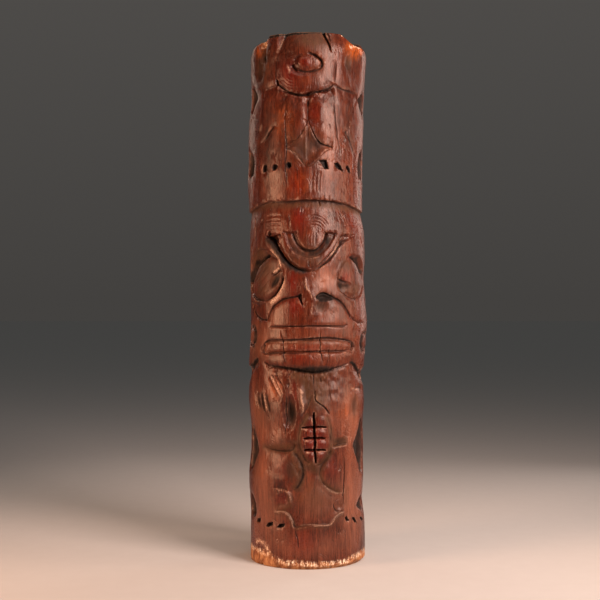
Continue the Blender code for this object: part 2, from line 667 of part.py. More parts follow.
def carve_feet(work):
    """The chisel-cut claws of the feet."""
    claws = [
        [(-143, 94), (-138, 104), (-128, 107), (-133, 96)],
        [(-106, 92), (-98, 101), (-88, 101), (-94, 93)],
        [(-74, 92), (-66, 101), (-54, 104), (-60, 95)],
        [(95, 112), (99, 113), (104, 99), (98, 100)],
        [(117, 110), (125, 109), (134, 96), (124, 100)],
        [(150, 107), (157, 107), (165, 98), (156, 99)],
    ]
    for claw in claws:
        work.hollow(np.array([*claw, claw[0]], float), CLAW_PIT_DEPTH, 3.5)


def hew_surface(work):
    """Broad flats left by the adze all round the log: shallow scoops round scattered middles."""
    random = np.random.default_rng(7)
    width, height = 34.0, 78.0
    columns = round(2 * HALF_ROUND / width)
    rows = math.ceil(PATTERN_HEIGHT / height)
    nudges = random.uniform(-0.35, 0.35, (rows + 2, columns, 2))
    across, up = np.meshgrid(work.across + HALF_ROUND, work.up)
    pitch = 2 * HALF_ROUND / columns
    column = np.floor(across / pitch).astype(int)
    row = np.floor(up / height).astype(int) + 1
    nearest = np.full(across.shape, np.inf)
    for down in (-1, 0, 1):
        for sideways in (-1, 0, 1):
            c, r = column + sideways, np.clip(row + down, 0, rows + 1)
            nudge = nudges[r, c % columns]
            x = across / pitch - (c + 0.5 + nudge[..., 0])
            z = up / height - (r - 0.5 + nudge[..., 1])
            nearest = np.minimum(nearest, x * x + z * z)
    work.depth += HEWN_FACET_DEPTH * (1.0 - np.clip(nearest * 2.0, 0.0, 1.0))


def carved_pattern():
    """The whole carving, on a grid that is finer on the front than on the back."""
    front = np.arange(-FRONT_HALF, FRONT_HALF, FRONT_STEP)
    back_columns = round((HALF_ROUND - FRONT_HALF) / BACK_STEP)
    right_back = np.linspace(FRONT_HALF, HALF_ROUND, back_columns, endpoint=False)
    across = np.concatenate([-HALF_ROUND + (right_back - FRONT_HALF), front, right_back])
    rows = round((PATTERN_HEIGHT + 2 * SAW_ALLOWANCE) / HEIGHT_STEP)
    work = Carving(across, np.linspace(-SAW_ALLOWANCE, PATTERN_HEIGHT + SAW_ALLOWANCE, rows))
    hew_surface(work)
    carve_log_ends(work)
    carve_crest_head(work)
    carve_upper_body(work)
    carve_neck_groove(work)
    carve_forehead_crest(work)
    carve_eyes(work)
    carve_muzzle(work)
    carve_mouth(work)
    carve_jaw_sides(work)
    carve_side_hollows(work)
    carve_chest(work)
    carve_lattice(work)
    carve_legs(work)
    carve_feet(work)
    return work


def log_radius(across, up):
    """The radius of the log before carving, in metres, from its left and right side."""
    left = np.interp(up, *np.transpose(LEFT_SIDE))[:, None]
    right = np.interp(up, *np.transpose(RIGHT_SIDE))[:, None]
    share = np.sin(across / PATTERN_RADIUS)[None, :]
    return POST_RADIUS / PATTERN_RADIUS * (0.5 * (left + right) + 0.5 * (right - left) * share)


def carved_mesh(work):
    """The carved round as a closed mesh: a grid round the log, with a cap of triangles at each end."""
    radius = log_radius(work.across, work.up) - work.depth
    angle = work.across / PATTERN_RADIUS
    height = np.broadcast_to((work.up * POST_HEIGHT / PATTERN_HEIGHT)[:, None], radius.shape)
    wall = np.stack([radius * np.sin(angle), -radius * np.cos(angle), height], axis=-1).reshape(-1, 3)
    rows, columns = radius.shape
    points = np.vstack([wall, (0.0, 0.0, height[0, 0]), (0.0, 0.0, height[-1, 0])])
    index = np.arange(rows * columns).reshape(rows, columns)
    beside = np.roll(index, -1, axis=1)
    quads = np.stack([index[:-1], beside[:-1], beside[1:], index[1:]], axis=-1).reshape(-1, 4)
    foot = [(beside[0, i], index[0, i], rows * columns) for i in range(columns)]
    top = [(index[-1, i], beside[-1, i], rows * columns + 1) for i in range(columns)]
    mesh = bpy.data.meshes.new("carved_round")
    mesh.from_pydata(points.tolist(), [], quads.tolist() + foot + top)
    return mesh


def thinned(mesh):
    """The mesh with its flat stretches joined into bigger triangles, down to the number kept."""
    blank = bpy.data.objects.new("blank", mesh)
    bpy.context.scene.collection.objects.link(blank)
    mesh.calc_loop_triangles()
    decimate = blank.modifiers.new("thin", "DECIMATE")
    decimate.ratio = KEPT_TRIANGLES / len(mesh.loop_triangles)
    bpy.context.view_layer.update()
    kept = bpy.data.meshes.new_from_object(blank.evaluated_get(bpy.context.evaluated_depsgraph_get()))
    bpy.data.objects.remove(blank)
    return kept


def saw_ends(mesh):
    """Saws the foot and the top flat and level, and caps each cut with one face."""
    form = bmesh.new()
    form.from_mesh(mesh)
    for level, way in ((0.0, -1.0), (POST_HEIGHT, 1.0)):
        everything = form.verts[:] + form.edges[:] + form.faces[:]
        sawn = bmesh.ops.bisect_plane(
            form, geom=everything, plane_co=(0.0, 0.0, level), plane_no=(0.0, 0.0, way), clear_outer=True
        )
        rim = [item for item in sawn["geom_cut"] if isinstance(item, bmesh.types.BMEdge)]
        for corner in {corner for edge in rim for corner in edge.verts}:
            corner.co.z = level
        bmesh.ops.contextual_create(form, geom=rim)
    bmesh.ops.recalc_face_normals(form, faces=form.faces[:])
    form.to_mesh(mesh)
    form.free()


def stained_wood():
    """Redwood under a dark red stain, rubbed to a low sheen."""
    material = bpy.data.materials.new("stained_redwood")
    material.use_nodes = True
    shader = material.node_tree.nodes["Principled BSDF"]
    shader.inputs["Base Color"].default_value = STAINED_REDWOOD
    shader.inputs["Roughness"].default_value = 0.42
    shader.inputs["Metallic"].default_value = 0.0
    return material


def main():
    """Clears the scene and carves the post."""
    for item in list(bpy.data.objects):
        bpy.data.objects.remove(item)
    mesh = thinned(carved_mesh(carved_pattern()))
    saw_ends(mesh)
    mesh.name = "tiki_post"
    mesh.shade_smooth()
    mesh.set_sharp_from_angle(angle=math.radians(50))
    mesh.materials.append(stained_wood())
    post = bpy.data.objects.new("tiki_post", mesh)
    bpy.context.scene.collection.objects.link(post)


main()
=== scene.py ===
"""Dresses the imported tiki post: one redwood log, carved, stained dark red-brown and waxed.

The carving is worked out as on a paper pattern wrapped round the log. Across is the way round from the
middle of the front, to the right of someone facing it, and up is the height above the foot, both in
millimetres of a log 1200 mm tall and 134 mm in radius. Depths, below the log's round, are in millimetres.
"""

import logging
import math
from dataclasses import dataclass, field
from enum import Enum

import bpy
import numpy as np
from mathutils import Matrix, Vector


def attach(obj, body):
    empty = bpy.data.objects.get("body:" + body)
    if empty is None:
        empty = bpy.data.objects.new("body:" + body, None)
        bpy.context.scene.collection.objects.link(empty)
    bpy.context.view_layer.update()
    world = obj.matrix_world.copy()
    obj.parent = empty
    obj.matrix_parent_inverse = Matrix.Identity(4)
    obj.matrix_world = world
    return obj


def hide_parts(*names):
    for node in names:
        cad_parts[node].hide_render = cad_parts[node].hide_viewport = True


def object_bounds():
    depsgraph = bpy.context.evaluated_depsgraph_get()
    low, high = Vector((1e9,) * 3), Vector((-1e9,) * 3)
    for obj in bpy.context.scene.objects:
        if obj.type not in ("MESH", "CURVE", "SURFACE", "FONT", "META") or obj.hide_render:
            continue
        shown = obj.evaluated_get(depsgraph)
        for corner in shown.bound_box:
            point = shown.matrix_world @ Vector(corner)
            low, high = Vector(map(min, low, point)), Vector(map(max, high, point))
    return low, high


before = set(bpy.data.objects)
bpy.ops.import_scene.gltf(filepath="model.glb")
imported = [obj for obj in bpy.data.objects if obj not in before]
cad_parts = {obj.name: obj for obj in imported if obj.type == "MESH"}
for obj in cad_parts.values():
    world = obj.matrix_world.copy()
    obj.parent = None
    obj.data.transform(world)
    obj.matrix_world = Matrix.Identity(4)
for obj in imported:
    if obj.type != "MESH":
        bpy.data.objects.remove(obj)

CAD_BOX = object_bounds()
NODE = "tiki_post"

PATTERN_HEIGHT = 1200.0
PATTERN_RADIUS = 134.0
HALF_ROUND = math.pi * PATTERN_RADIUS
MM_PER_METRE = 1000.0
STRAY_REACH = 1.3

Pair = tuple[float, float]
Points = list[Pair]
Varying = float | tuple[float, ...]
Socket = bpy.types.NodeSocket
log = logging.getLogger("tiki_post")


def linear(colour: str) -> tuple[float, float, float, float]:
    """Turns an sRGB hex colour into Blender's linear colour.

    Args:
        colour: the colour as "#rrggbb".

    Returns:
        Linear red, green and blue, and an alpha of 1.
    """
    parts = [int(colour[i : i + 2], 16) / 255.0 for i in (1, 3, 5)]
    turned = [c / 12.92 if c <= 0.04045 else ((c + 0.055) / 1.055) ** 2.4 for c in parts]
    return turned[0], turned[1], turned[2], 1.0


def ease(share: np.ndarray) -> np.ndarray:
    """Goes from 0 to 1 with no corner at either end: three squares less two cubes."""
    share = np.clip(share, 0.0, 1.0)
    return share * share * (3.0 - 2.0 * share)


def curve(points: Points, closed: bool = False, steps: int = 5) -> np.ndarray:
    """Draws a smooth line through points: a cubic between each two, that runs at each as its neighbours lie.

    Args:
        points: places on the pattern, across and up.
        closed: whether the line comes back to its first point.
        steps: how many straight pieces each cubic is cut into.

    Returns:
        The line's places, one row each.
    """
    at = np.asarray(points, float)
    if closed:
        ring = np.vstack([at[-1], at, at[:2]])
    else:
        ring = np.vstack([2 * at[0] - at[1], at, 2 * at[-1] - at[-2]])
    share = np.linspace(0.0, 1.0, steps, endpoint=False)[None, :, None]
    a, b, c, d = (ring[i : len(ring) - 3 + i, None, :] for i in range(4))
    cubic = 2 * b + (c - a) * share + (2 * a - 5 * b + 4 * c - d) * share**2
    cubic = cubic + (3 * b - a - 3 * c + d) * share**3
    return np.vstack([0.5 * cubic.reshape(-1, 2), ring[-2]])


def arc(centre: Pair, radii: Pair, turn: Pair, count: int) -> np.ndarray:
    """Draws an oval's arc from one angle to another, in degrees, through this many points."""
    angles = np.radians(np.linspace(*turn, count))
    return curve(np.column_stack([centre[0] + radii[0] * np.cos(angles),
                                  centre[1] + radii[1] * np.sin(angles)]))


def drawn(points: Points | np.ndarray, closed: bool = False) -> np.ndarray:
    """Draws the curve through plain points, and leaves a line that is drawn already as it is."""
    return points if isinstance(points, np.ndarray) else curve(points, closed)


def spread(value: Varying, share: np.ndarray) -> np.ndarray | float:
    """Gives a value at each share of a line: one all along, or several spaced evenly, joined straight."""
    return np.interp(share, np.linspace(0.0, 1.0, len(value)), value) if isinstance(value, tuple) else value


class Flank(Enum):
    """How one side of a cut rises from its bottom to its rim."""

    STRAIGHT = "a flat facet"
    ROUNDED = "a form that swells over towards the cut, a quarter round"
    SCOOPED = "a gouge's hollow, flat in the middle and steep at the rim"
    COVED = "a hollow that is steep at the cut and runs out level"

    def share_of_depth(self, out: np.ndarray) -> np.ndarray:
        """Gives how much of the full depth is cut.

        Args:
            out: how far out each place is, from 0 at the bottom to 1 at the rim.

        Returns:
            One less out for a facet, its square for a cove, and a quarter circle for the other two.
        """
        if self is Flank.ROUNDED:
            return 1.0 - np.sqrt(np.clip(1.0 - (1.0 - out) ** 2, 0.0, 1.0))
        if self is Flank.SCOOPED:
            return np.sqrt(np.clip(1.0 - out**2, 0.0, 1.0))
        if self is Flank.COVED:
            return (1.0 - out) ** 2
        return 1.0 - out


STRAIGHT, ROUNDED, SCOOPED, COVED = Flank
ROUND_LEFT, ROUND_RIGHT, ROUND = (ROUNDED, STRAIGHT), (STRAIGHT, ROUNDED), (ROUNDED, ROUNDED)
COVE_LEFT, COVE_RIGHT, SCOOP = (COVED, STRAIGHT), (STRAIGHT, COVED), (SCOOPED, SCOOPED)


@dataclass
class Reading:
    """How a patch of the pattern lies to a line: each place's gap to it, side of it and way along it."""

    patch: tuple[slice, slice]
    gap: np.ndarray
    side: np.ndarray
    along: np.ndarray
    total: float

    def run_out(self, ends: Pair) -> np.ndarray:
        """Eases a cut out towards both ends of its line.

        Args:
            ends: how far it runs out at the start and the end, in mm.

        Returns:
            1 in the middle of the line, easing to 0 at its ends.
        """
        share = np.ones(self.gap.shape)
        for way, length in ((self.along, ends[0]), (self.total - self.along, ends[1])):
            if length:
                share = share * ease(way / length)
        return share


@dataclass
class Relief:
    """How deep the wood is cut, in mm, and where it is tinted, on a grid over the pattern."""

    across: np.ndarray
    up: np.ndarray
    depth: np.ndarray = field(init=False)
    stray: np.ndarray = field(init=False)
    press: np.ndarray = field(init=False)
    tints: dict[str, np.ndarray] = field(default_factory=dict)

    def __post_init__(self) -> None:
        """Starts from an uncut round, and works out how the hand strays and how hard it presses."""
        self.depth = np.zeros((len(self.up), len(self.across)))
        self.stray = 0.6 * self.unevenness((14.0, 14.0), 3) + 0.35 * self.unevenness((4.5, 5.5), 4)
        self.press = 1.0 + 0.20 * self.unevenness((16.0, 13.0), 5) + 0.14 * self.unevenness((5.0, 7.0), 6)

    def window(self, line: np.ndarray, reach: float) -> tuple[slice, slice]:
        """Gives a line's surroundings.

        Args:
            line: the line's places.
            reach: how far round them, in mm.

        Returns:
            The rows and the columns within reach.
        """
        low, high = line.min(axis=0) - reach, line.max(axis=0) + reach
        rows = slice(*np.searchsorted(self.up, (low[1], high[1])))
        return rows, slice(*np.searchsorted(self.across, (low[0], high[0])))

    def read(self, line: np.ndarray, reach: float) -> Reading:
        """Measures from a line, one straight piece at a time, each over the patch within its reach.

        Args:
            line: the line's places.
            reach: how far to measure, in mm.

        Returns:
            The gap to the nearest piece, the side of it (1 is left of the way it runs) and the way along.
        """
        patch = self.window(line, reach)
        across, up = self.across[patch[1]], self.up[patch[0]]
        gap = np.full((len(up), len(across)), np.inf)
        side = np.ones(gap.shape)
        along = np.zeros(gap.shape)
        passed = 0.0
        for (x0, z0), (x1, z1) in zip(line[:-1], line[1:]):
            dx, dz = x1 - x0, z1 - z0
            length = math.hypot(dx, dz)
            if length == 0.0:
                continue
            c = slice(*np.searchsorted(across, (min(x0, x1) - reach, max(x0, x1) + reach)))
            r = slice(*np.searchsorted(up, (min(z0, z1) - reach, max(z0, z1) + reach)))
            x, z = across[c][None, :] - x0, up[r][:, None] - z0
            share = np.clip((x * dx + z * dz) / length**2, 0.0, 1.0)
            away = np.hypot(x - share * dx, z - share * dz)
            closer = away < gap[r, c]
            gap[r, c] = np.where(closer, away, gap[r, c])
            side[r, c] = np.where(closer, np.sign(dx * z - dz * x), side[r, c])
            along[r, c] = np.where(closer, passed + share * length, along[r, c])
            passed += length
        return Reading(patch, gap, side, along, passed)

    def inside(self, line: np.ndarray, patch: tuple[slice, slice]) -> np.ndarray:
        """Says which places a closed line goes round, by counting its crossings to the right of each.

        Args:
            line: the closed line's places.
            patch: the rows and the columns to look at.

        Returns:
            Whether each place is inside.
        """
        across, up = self.across[patch[1]], self.up[patch[0]]
        within = np.zeros((len(up), len(across)), bool)
        for (x0, z0), (x1, z1) in zip(line[:-1], line[1:]):
            if z0 != z1:
                r = slice(*np.searchsorted(up, sorted((z0, z1))))
                crossing = x0 + (up[r] - z0) * (x1 - x0) / (z1 - z0)
                within[r] ^= across[None, :] < crossing[:, None]
        return within

    def cut(
        self,
        line: Points | np.ndarray,
        depth: Varying,
        left: Varying,
        right: Varying,
        shapes: tuple[Flank, Flank] = (STRAIGHT, STRAIGHT),
        ends: Pair = (0, 0),
    ) -> None:
        """Cuts along a line, or with a negative depth raises a ridge on it.

        Args:
            line: the points that it is drawn through, or the line itself.
            depth: the depth at the line, in mm.
            left: how far the flank to the left of the line's way reaches, in mm.
            right: how far the flank to the right reaches, in mm.
            shapes: the shapes of the left and the right flank.
            ends: how far the cut runs out at its start and its end, in mm.
        """
        near = self.read(drawn(line), max(np.max(left), np.max(right)) + STRAY_REACH)
        way = near.along / near.total
        off = near.gap * near.side + self.stray[near.patch]
        share = np.zeros(off.shape)
        for shape, width, out in zip(shapes, (left, right), (off, -off)):
            out = out / np.maximum(spread(width, way), 1e-6)
            share += shape.share_of_depth(np.clip(out, 0.0, 1.0)) * ((out >= 0.0) & (out < 1.0))
        share *= near.run_out(ends) * spread(depth, way)
        self.depth[near.patch] += share * self.press[near.patch]

    def channel(self, line: Points, depth: Varying, half_width: Varying, wall: float, ends: Pair) -> None:
        """Cuts a flat-bottomed channel.

        Args:
            line: the points that its middle is drawn through.
            depth: its depth, in mm.
            half_width: half its width at the surface, in mm.
            wall: how far its walls lean in, in mm.
            ends: how far it runs out at its start and its end, in mm.
        """
        near = self.read(curve(line), np.max(half_width) + STRAY_REACH)
        way = near.along / near.total
        off = np.abs(near.gap * near.side + self.stray[near.patch])
        share = np.clip((spread(half_width, way) - off) / wall, 0.0, 1.0) * near.run_out(ends)
        share *= spread(depth, way)
        self.depth[near.patch] += share * self.press[near.patch]

    def hollow(self, outline: Points | np.ndarray, depth: float, wall: float, soot_and_shade: float = 0.0) -> None:
        """Lowers what a closed outline goes round, and can darken it with painted shade and sooty colour.

        Args:
            outline: the points that it is drawn through, or the closed line itself.
            depth: how far it is lowered, in mm.
            wall: how far in from the outline it eases down, in mm.
            soot_and_shade: how much painted shade and sooty colour it gets.
        """
        outline = drawn(outline, closed=True)
        near = self.read(outline, wall + STRAY_REACH)
        within = self.inside(outline, near.patch)
        off = np.where(within, near.gap, -near.gap) + 0.6 * self.stray[near.patch]
        share = ease(off / wall)
        self.depth[near.patch] += depth * share
        if soot_and_shade:
            self.layer("soot_and_shade")[near.patch] += soot_and_shade * share

    def oval(self, centre: Pair, radii: Pair, turn: float) -> tuple[tuple[slice, slice], np.ndarray]:
        """Measures out from the middle of a turned oval.

        Args:
            centre: its middle, across and up, in mm.
            radii: its two radii, in mm.
            turn: how far it is turned, in degrees.

        Returns:
            Its rows and columns, and each place's distance out squared: 0 in the middle and 1 at the rim.
        """
        patch = self.window(np.array([centre]), max(radii))
        x, z = self.across[patch[1]][None, :] - centre[0], self.up[patch[0]][:, None] - centre[1]
        c, s = math.cos(math.radians(turn)), math.sin(math.radians(turn))
        return patch, ((x * c + z * s) / radii[0]) ** 2 + ((z * c - x * s) / radii[1]) ** 2

    def swell(self, centre: Pair, radii: Pair, turn: float, rise: float, power: float = 1.0) -> None:
        """Raises an oval dome, or sinks a dish: its rise times one less the distance squared, to a power.

        Args:
            centre: its middle, across and up, in mm.
            radii: its two radii, in mm.
            turn: how far it is turned, in degrees.
            rise: how high its middle is, in mm, and negative for a dish.
            power: 1 for a round dome, and less for one that is flat on top.
        """
        patch, out = self.oval(centre, radii, turn)
        self.depth[patch] -= rise * np.clip(1.0 - out, 0.0, 1.0) ** power

    def tint(self, name: str, across: float, up: float, *oval: float) -> None:
        """Adds a soft oval stain to a tint, strongest in the middle.

        Args:
            name: the tint.
            across: how far across its middle is, in mm.
            up: how high its middle is, in mm.
            oval: its two radii in mm, its turn in degrees, and how much it adds.
        """
        wide, high, turn, amount = oval
        patch, out = self.oval((across, up), (wide, high), turn)
        self.layer(name)[patch] += amount * ease(1.0 - np.sqrt(out))

    def tint_along(self, name: str, line: Points, reach: float, amount: float, ends: float = 8.0) -> None:
        """Adds a soft band to a tint along a line, strongest on it.

        Args:
            name: the tint.
            line: the points that it is drawn through.
            reach: half the band's width, in mm.
            amount: how much it adds on the line.
            ends: how far it fades at both ends, in mm.
        """
        near = self.read(curve(line), reach)
        share = ease(1.0 - np.clip(near.gap / reach, 0.0, 1.0)) * near.run_out((ends, ends))
        self.layer(name)[near.patch] += amount * share

    def layer(self, name: str) -> np.ndarray:
        """Gives a tint's own array, and starts it where there is none."""
        return self.tints.setdefault(name, np.zeros(self.depth.shape))

    def check(self, points: Points, depth: float, width: float, seed: int) -> None:
        """Opens a drying check: a thin wandering cut with steep sides, which closes at both ends.

        Args:
            points: places that the check goes through.
            depth: its depth in the middle, in mm.
            width: half its width at the surface, in mm.
            seed: the seed of its wandering.
        """
        line = curve(points, steps=9)
        random = np.random.default_rng(seed)
        line[:, 0] += np.convolve(random.normal(0.0, 1.3, len(line) + 3), np.ones(4) / 4, "valid")
        near = self.read(line, width * 3.0)
        fade = near.run_out((near.total * 0.3, near.total * 0.3))
        half = width * (0.4 + 0.6 * fade)
        share = np.clip(1.0 - near.gap / half, 0.0, 1.0) ** 0.8 * fade
        self.depth[near.patch] += depth * share
        crack = self.layer("check")[near.patch]
        np.maximum(crack, np.clip(1.5 - near.gap / half, 0.0, 1.0) * fade, out=crack)

    def pits(self, claws: list[Points], depth: float) -> None:
        """Punches chisel-cut holes with straight edges and steep walls, a third bigger than their marks, and
        paints shade in them.

        Args:
            claws: the corners of each mark.
            depth: the holes' depth, in mm.
        """
        for claw in claws:
            marks = np.array([*claw, claw[0]], float)
            outline = marks + 0.32 * (marks - marks[:-1].mean(axis=0))
            self.hollow(outline, depth, 3.0)
            near = self.read(outline, 3.0)
            # Painted shade fills each hole.
            dark = self.layer("soot_and_shade")[near.patch]
            np.maximum(dark, 1.2 * self.inside(outline, near.patch), out=dark)

    def scoops(self, width: float, height: float, depth: float, seed: int, lean: float = 0.0) -> np.ndarray:
        """Lays tool marks all over: each place is cut by its distance to the nearest of scattered middles.

        Args:
            width: the marks' mean width, in mm.
            height: their mean height, in mm.
            depth: how much lower a mark's middle is than its rim, in mm.
            seed: the seed of the scatter.
            lean: how far the marks lean to the right for each mm up.

        Returns:
            The depth of the marks over the pattern.
        """
        random = np.random.default_rng(seed)
        columns = round(2 * HALF_ROUND / width)
        rows = math.ceil(PATTERN_HEIGHT / height)
        nudges = random.uniform(-0.42, 0.42, (rows + 2, columns, 2))
        levels = random.uniform(-0.45, 0.45, (rows + 2, columns))
        pitch = 2 * HALF_ROUND / columns
        up = self.up[:, None] / height
        across = (self.across[None, :] + HALF_ROUND + lean * self.up[:, None]) / pitch
        column, row = np.floor(across).astype(int), np.floor(up).astype(int) + 1
        nearest = np.full(self.depth.shape, np.inf)
        for down in (-1, 0, 1):
            for sideways in (-1, 0, 1):
                c, r = column + sideways, np.clip(row + down, 0, rows + 1)
                nudge = nudges[r, c % columns]
                gap = (across - (c + 0.5 + nudge[..., 0])) ** 2 + (up - (r - 0.5 + nudge[..., 1])) ** 2
                nearest = np.minimum(nearest, gap + levels[r, c % columns] * 0.3)
        return depth * (0.5 - np.clip(nearest, -0.2, 0.8))

    def unevenness(self, cell: Pair, seed: int) -> np.ndarray:
        """Gives smooth random swells from -1 to 1: random values on a coarse grid, eased between.

        Args:
            cell: the coarse grid's spacing across and up, in mm.
            seed: the seed of the values.

        Returns:
            The swells over the pattern, joined at the back.
        """
        random = np.random.default_rng(seed)
        columns = max(round(2 * HALF_ROUND / cell[0]), 3)
        values = random.uniform(-1.0, 1.0, (math.ceil(PATTERN_HEIGHT / cell[1]) + 3, columns))
        x = (self.across + HALF_ROUND) / (2 * HALF_ROUND) * columns
        z = np.clip(self.up / cell[1] + 1.0, 0.0, values.shape[0] - 1.001)
        c, r = np.floor(x).astype(int), np.floor(z).astype(int)
        fx, fz = ease(x - c)[None, :], ease(z - r)[:, None]
        low = values[r][:, c % columns] * (1 - fx) + values[r][:, (c + 1) % columns] * fx
        high = values[r + 1][:, c % columns] * (1 - fx) + values[r + 1][:, (c + 1) % columns] * fx
        return low * (1 - fz) + high * fz


@dataclass
class LogEnds:
    """The rubbed rim of the top with its lower corners, and the bruised edge of the foot."""

    notch: float = 26
    crown: float = 11
    crown_start: float = 1152
    crown_run: float = 52
    foot_wear: float = 5
    foot_run: float = 8

    def carve(self, relief: Relief) -> None:
        """Wears both rims, the foot's more on its right, and lowers the top's corners over the ear blocks.

        Args:
            relief: the pattern to cut.
        """
        up = relief.up[:, None]
        relief.depth += self.crown * ease((up - self.crown_start) / self.crown_run) ** 2
        side = 1.0 + 0.6 * np.sin(relief.across / PATTERN_RADIUS)
        relief.depth += self.foot_wear * ease((self.foot_run - up) / self.foot_run) * side
        left = [(-108, 1215), (-109, 1193), (-118, 1189), (-145, 1187), (-175, 1183), (-205, 1184),
                (-222, 1190), (-224, 1215)]
        right = [(50, 1215), (68, 1206), (86, 1198), (101, 1190), (115, 1182), (131, 1177), (165, 1178),
                 (200, 1182), (222, 1215)]
        relief.hollow(left, self.notch, 8)
        relief.hollow(right, self.notch, 17)


@dataclass
class CrestHead:
    """The upper figure's head: a blunt snout between two ear blocks, with one almond eye."""

    undercut: float = 8

    def carve(self, relief: Relief) -> None:
        """Cuts the snout free, then the ear blocks and the eye.

        Args:
            relief: the pattern to cut.
        """
        snout = [(-77, 1098), (-74, 1086), (-65, 1077), (-55, 1070), (-41, 1065), (-24, 1061), (-9, 1059),
                 (2, 1063), (13, 1066), (28, 1067), (42, 1069.5), (54, 1074), (62, 1081), (66, 1089)]
        shadow = [(-76, 1074), (-50, 1067), (-26, 1061), (-8, 1059), (13, 1066), (40, 1069), (68, 1077)]
        relief.cut(snout, (3, 6, 7, 8, 5, 3), 2.5, 5, ends=(6, 6))
        relief.cut(shadow, self.undercut, 3, 40, ROUND_LEFT, (18, 16))
        relief.cut(snout, 7, 30, 0, ROUND_LEFT, (10, 10))
        left_cheek = [(-74, 1085), (-90, 1081), (-112, 1078), (-134, 1079), (-152, 1085), (-170, 1096)]
        right_cheek = [(65, 1085), (72, 1080), (82, 1076), (94, 1073), (112, 1073), (131, 1070),
                       (145, 1058)]
        relief.cut(left_cheek, (6, 3, 3), 26, 16, ROUND_RIGHT, (4, 8))
        relief.cut(right_cheek, (4, 5, 4), 3, 30, ROUND_LEFT, (2, 4))
        relief.cut(right_cheek, 3, 14, 0, ROUND_LEFT, (6, 4))
        relief.cut([(-77, 1101), (-75, 1092), (-73, 1081)], (3, 11), 3, 4.5, ends=(8, 3))
        relief.cut([(-72, 1152), (-79, 1130), (-79, 1104), (-74, 1086)], 4, 24, 18, ROUND, (20, 4))
        for reach in (14, 20, 26, 32, 38):
            relief.cut(arc((-30, 1106), (reach * 1.2, reach), (195, 285), 7), 1, 3.5, 1.8, ends=(12, 14))
        relief.cut([(60, 1150), (66, 1115), (65, 1088)], 2, 16, 22, ROUND, (24, 4))
        relief.cut([(-56, 1215), (-61, 1190), (-67, 1170), (-73, 1149)], 11, 34, (17, 6), COVE_LEFT,
                   (0, 30))
        relief.cut([(37, 1215), (43, 1190), (50, 1172), (54, 1151)], 10, (2.5, 2), (11, 3), COVE_RIGHT,
                   (0, 20))
        relief.cut([(44, 1215), (52, 1192), (53, 1176)], 4, 2, 3, ends=(0, 8))
        self.carve_ears(relief)
        self.carve_eye(relief)

    def carve_ears(self, relief: Relief) -> None:
        """Hollows the fronts of the ear blocks, the left one deeper and with a pocket.

        Args:
            relief: the pattern to cut.
        """
        left = [(-164, 1188), (-102, 1192), (-98, 1160), (-101, 1130), (-110, 1102), (-128, 1090),
                (-146, 1096), (-158, 1122)]
        relief.hollow(left, 6, 26)
        pocket = [(-135, 1192), (-113, 1192), (-107, 1168), (-107, 1147), (-115, 1141), (-125, 1152),
                  (-133, 1170)]
        relief.hollow(pocket, 8, 12)
        relief.cut([(-118, 1168), (-111, 1150), (-104, 1134)], 4, 3, 8, ends=(8, 8))
        relief.swell((122, 1132), (40, 58), 6, -6, 1.4)
        relief.swell((105, 1138), (14, 18), 0, -3)

    def carve_eye(self, relief: Relief) -> None:
        """Sinks a socket, raises an almond in it, and deepens its ring on the right and at the left corner.

        Args:
            relief: the pattern to cut.
        """
        socket = [(-48, 1117), (-42, 1131), (-30, 1144), (-14, 1152), (2, 1154), (18, 1149), (30, 1141),
                  (37, 1131), (34, 1117), (22, 1106), (2, 1100), (-18, 1099), (-36, 1105)]
        relief.hollow(socket, 4, 9)
        relief.swell((-1, 1131), (32, 19), 4, 4.5, 0.7)
        relief.swell((-8, 1131), (16, 14), 0, 4, 0.5)
        relief.cut([(-2, 1153), (11, 1149), (23, 1143), (32, 1135), (34, 1127), (29, 1117)], (3, 8, 10, 6),
                   3, 5, ends=(8, 8))
        relief.cut([(29, 1117), (15, 1112), (0, 1110), (-14, 1111), (-26, 1117)], 3, 2.5, 3.5, ends=(4, 4))
        relief.cut([(-37, 1128), (-33, 1119), (-24, 1111)], 7, 5, 4, ends=(4, 4))
        relief.cut([(-34, 1136), (-24, 1143), (-10, 1149)], 2, 4, 4, ends=(6, 6))


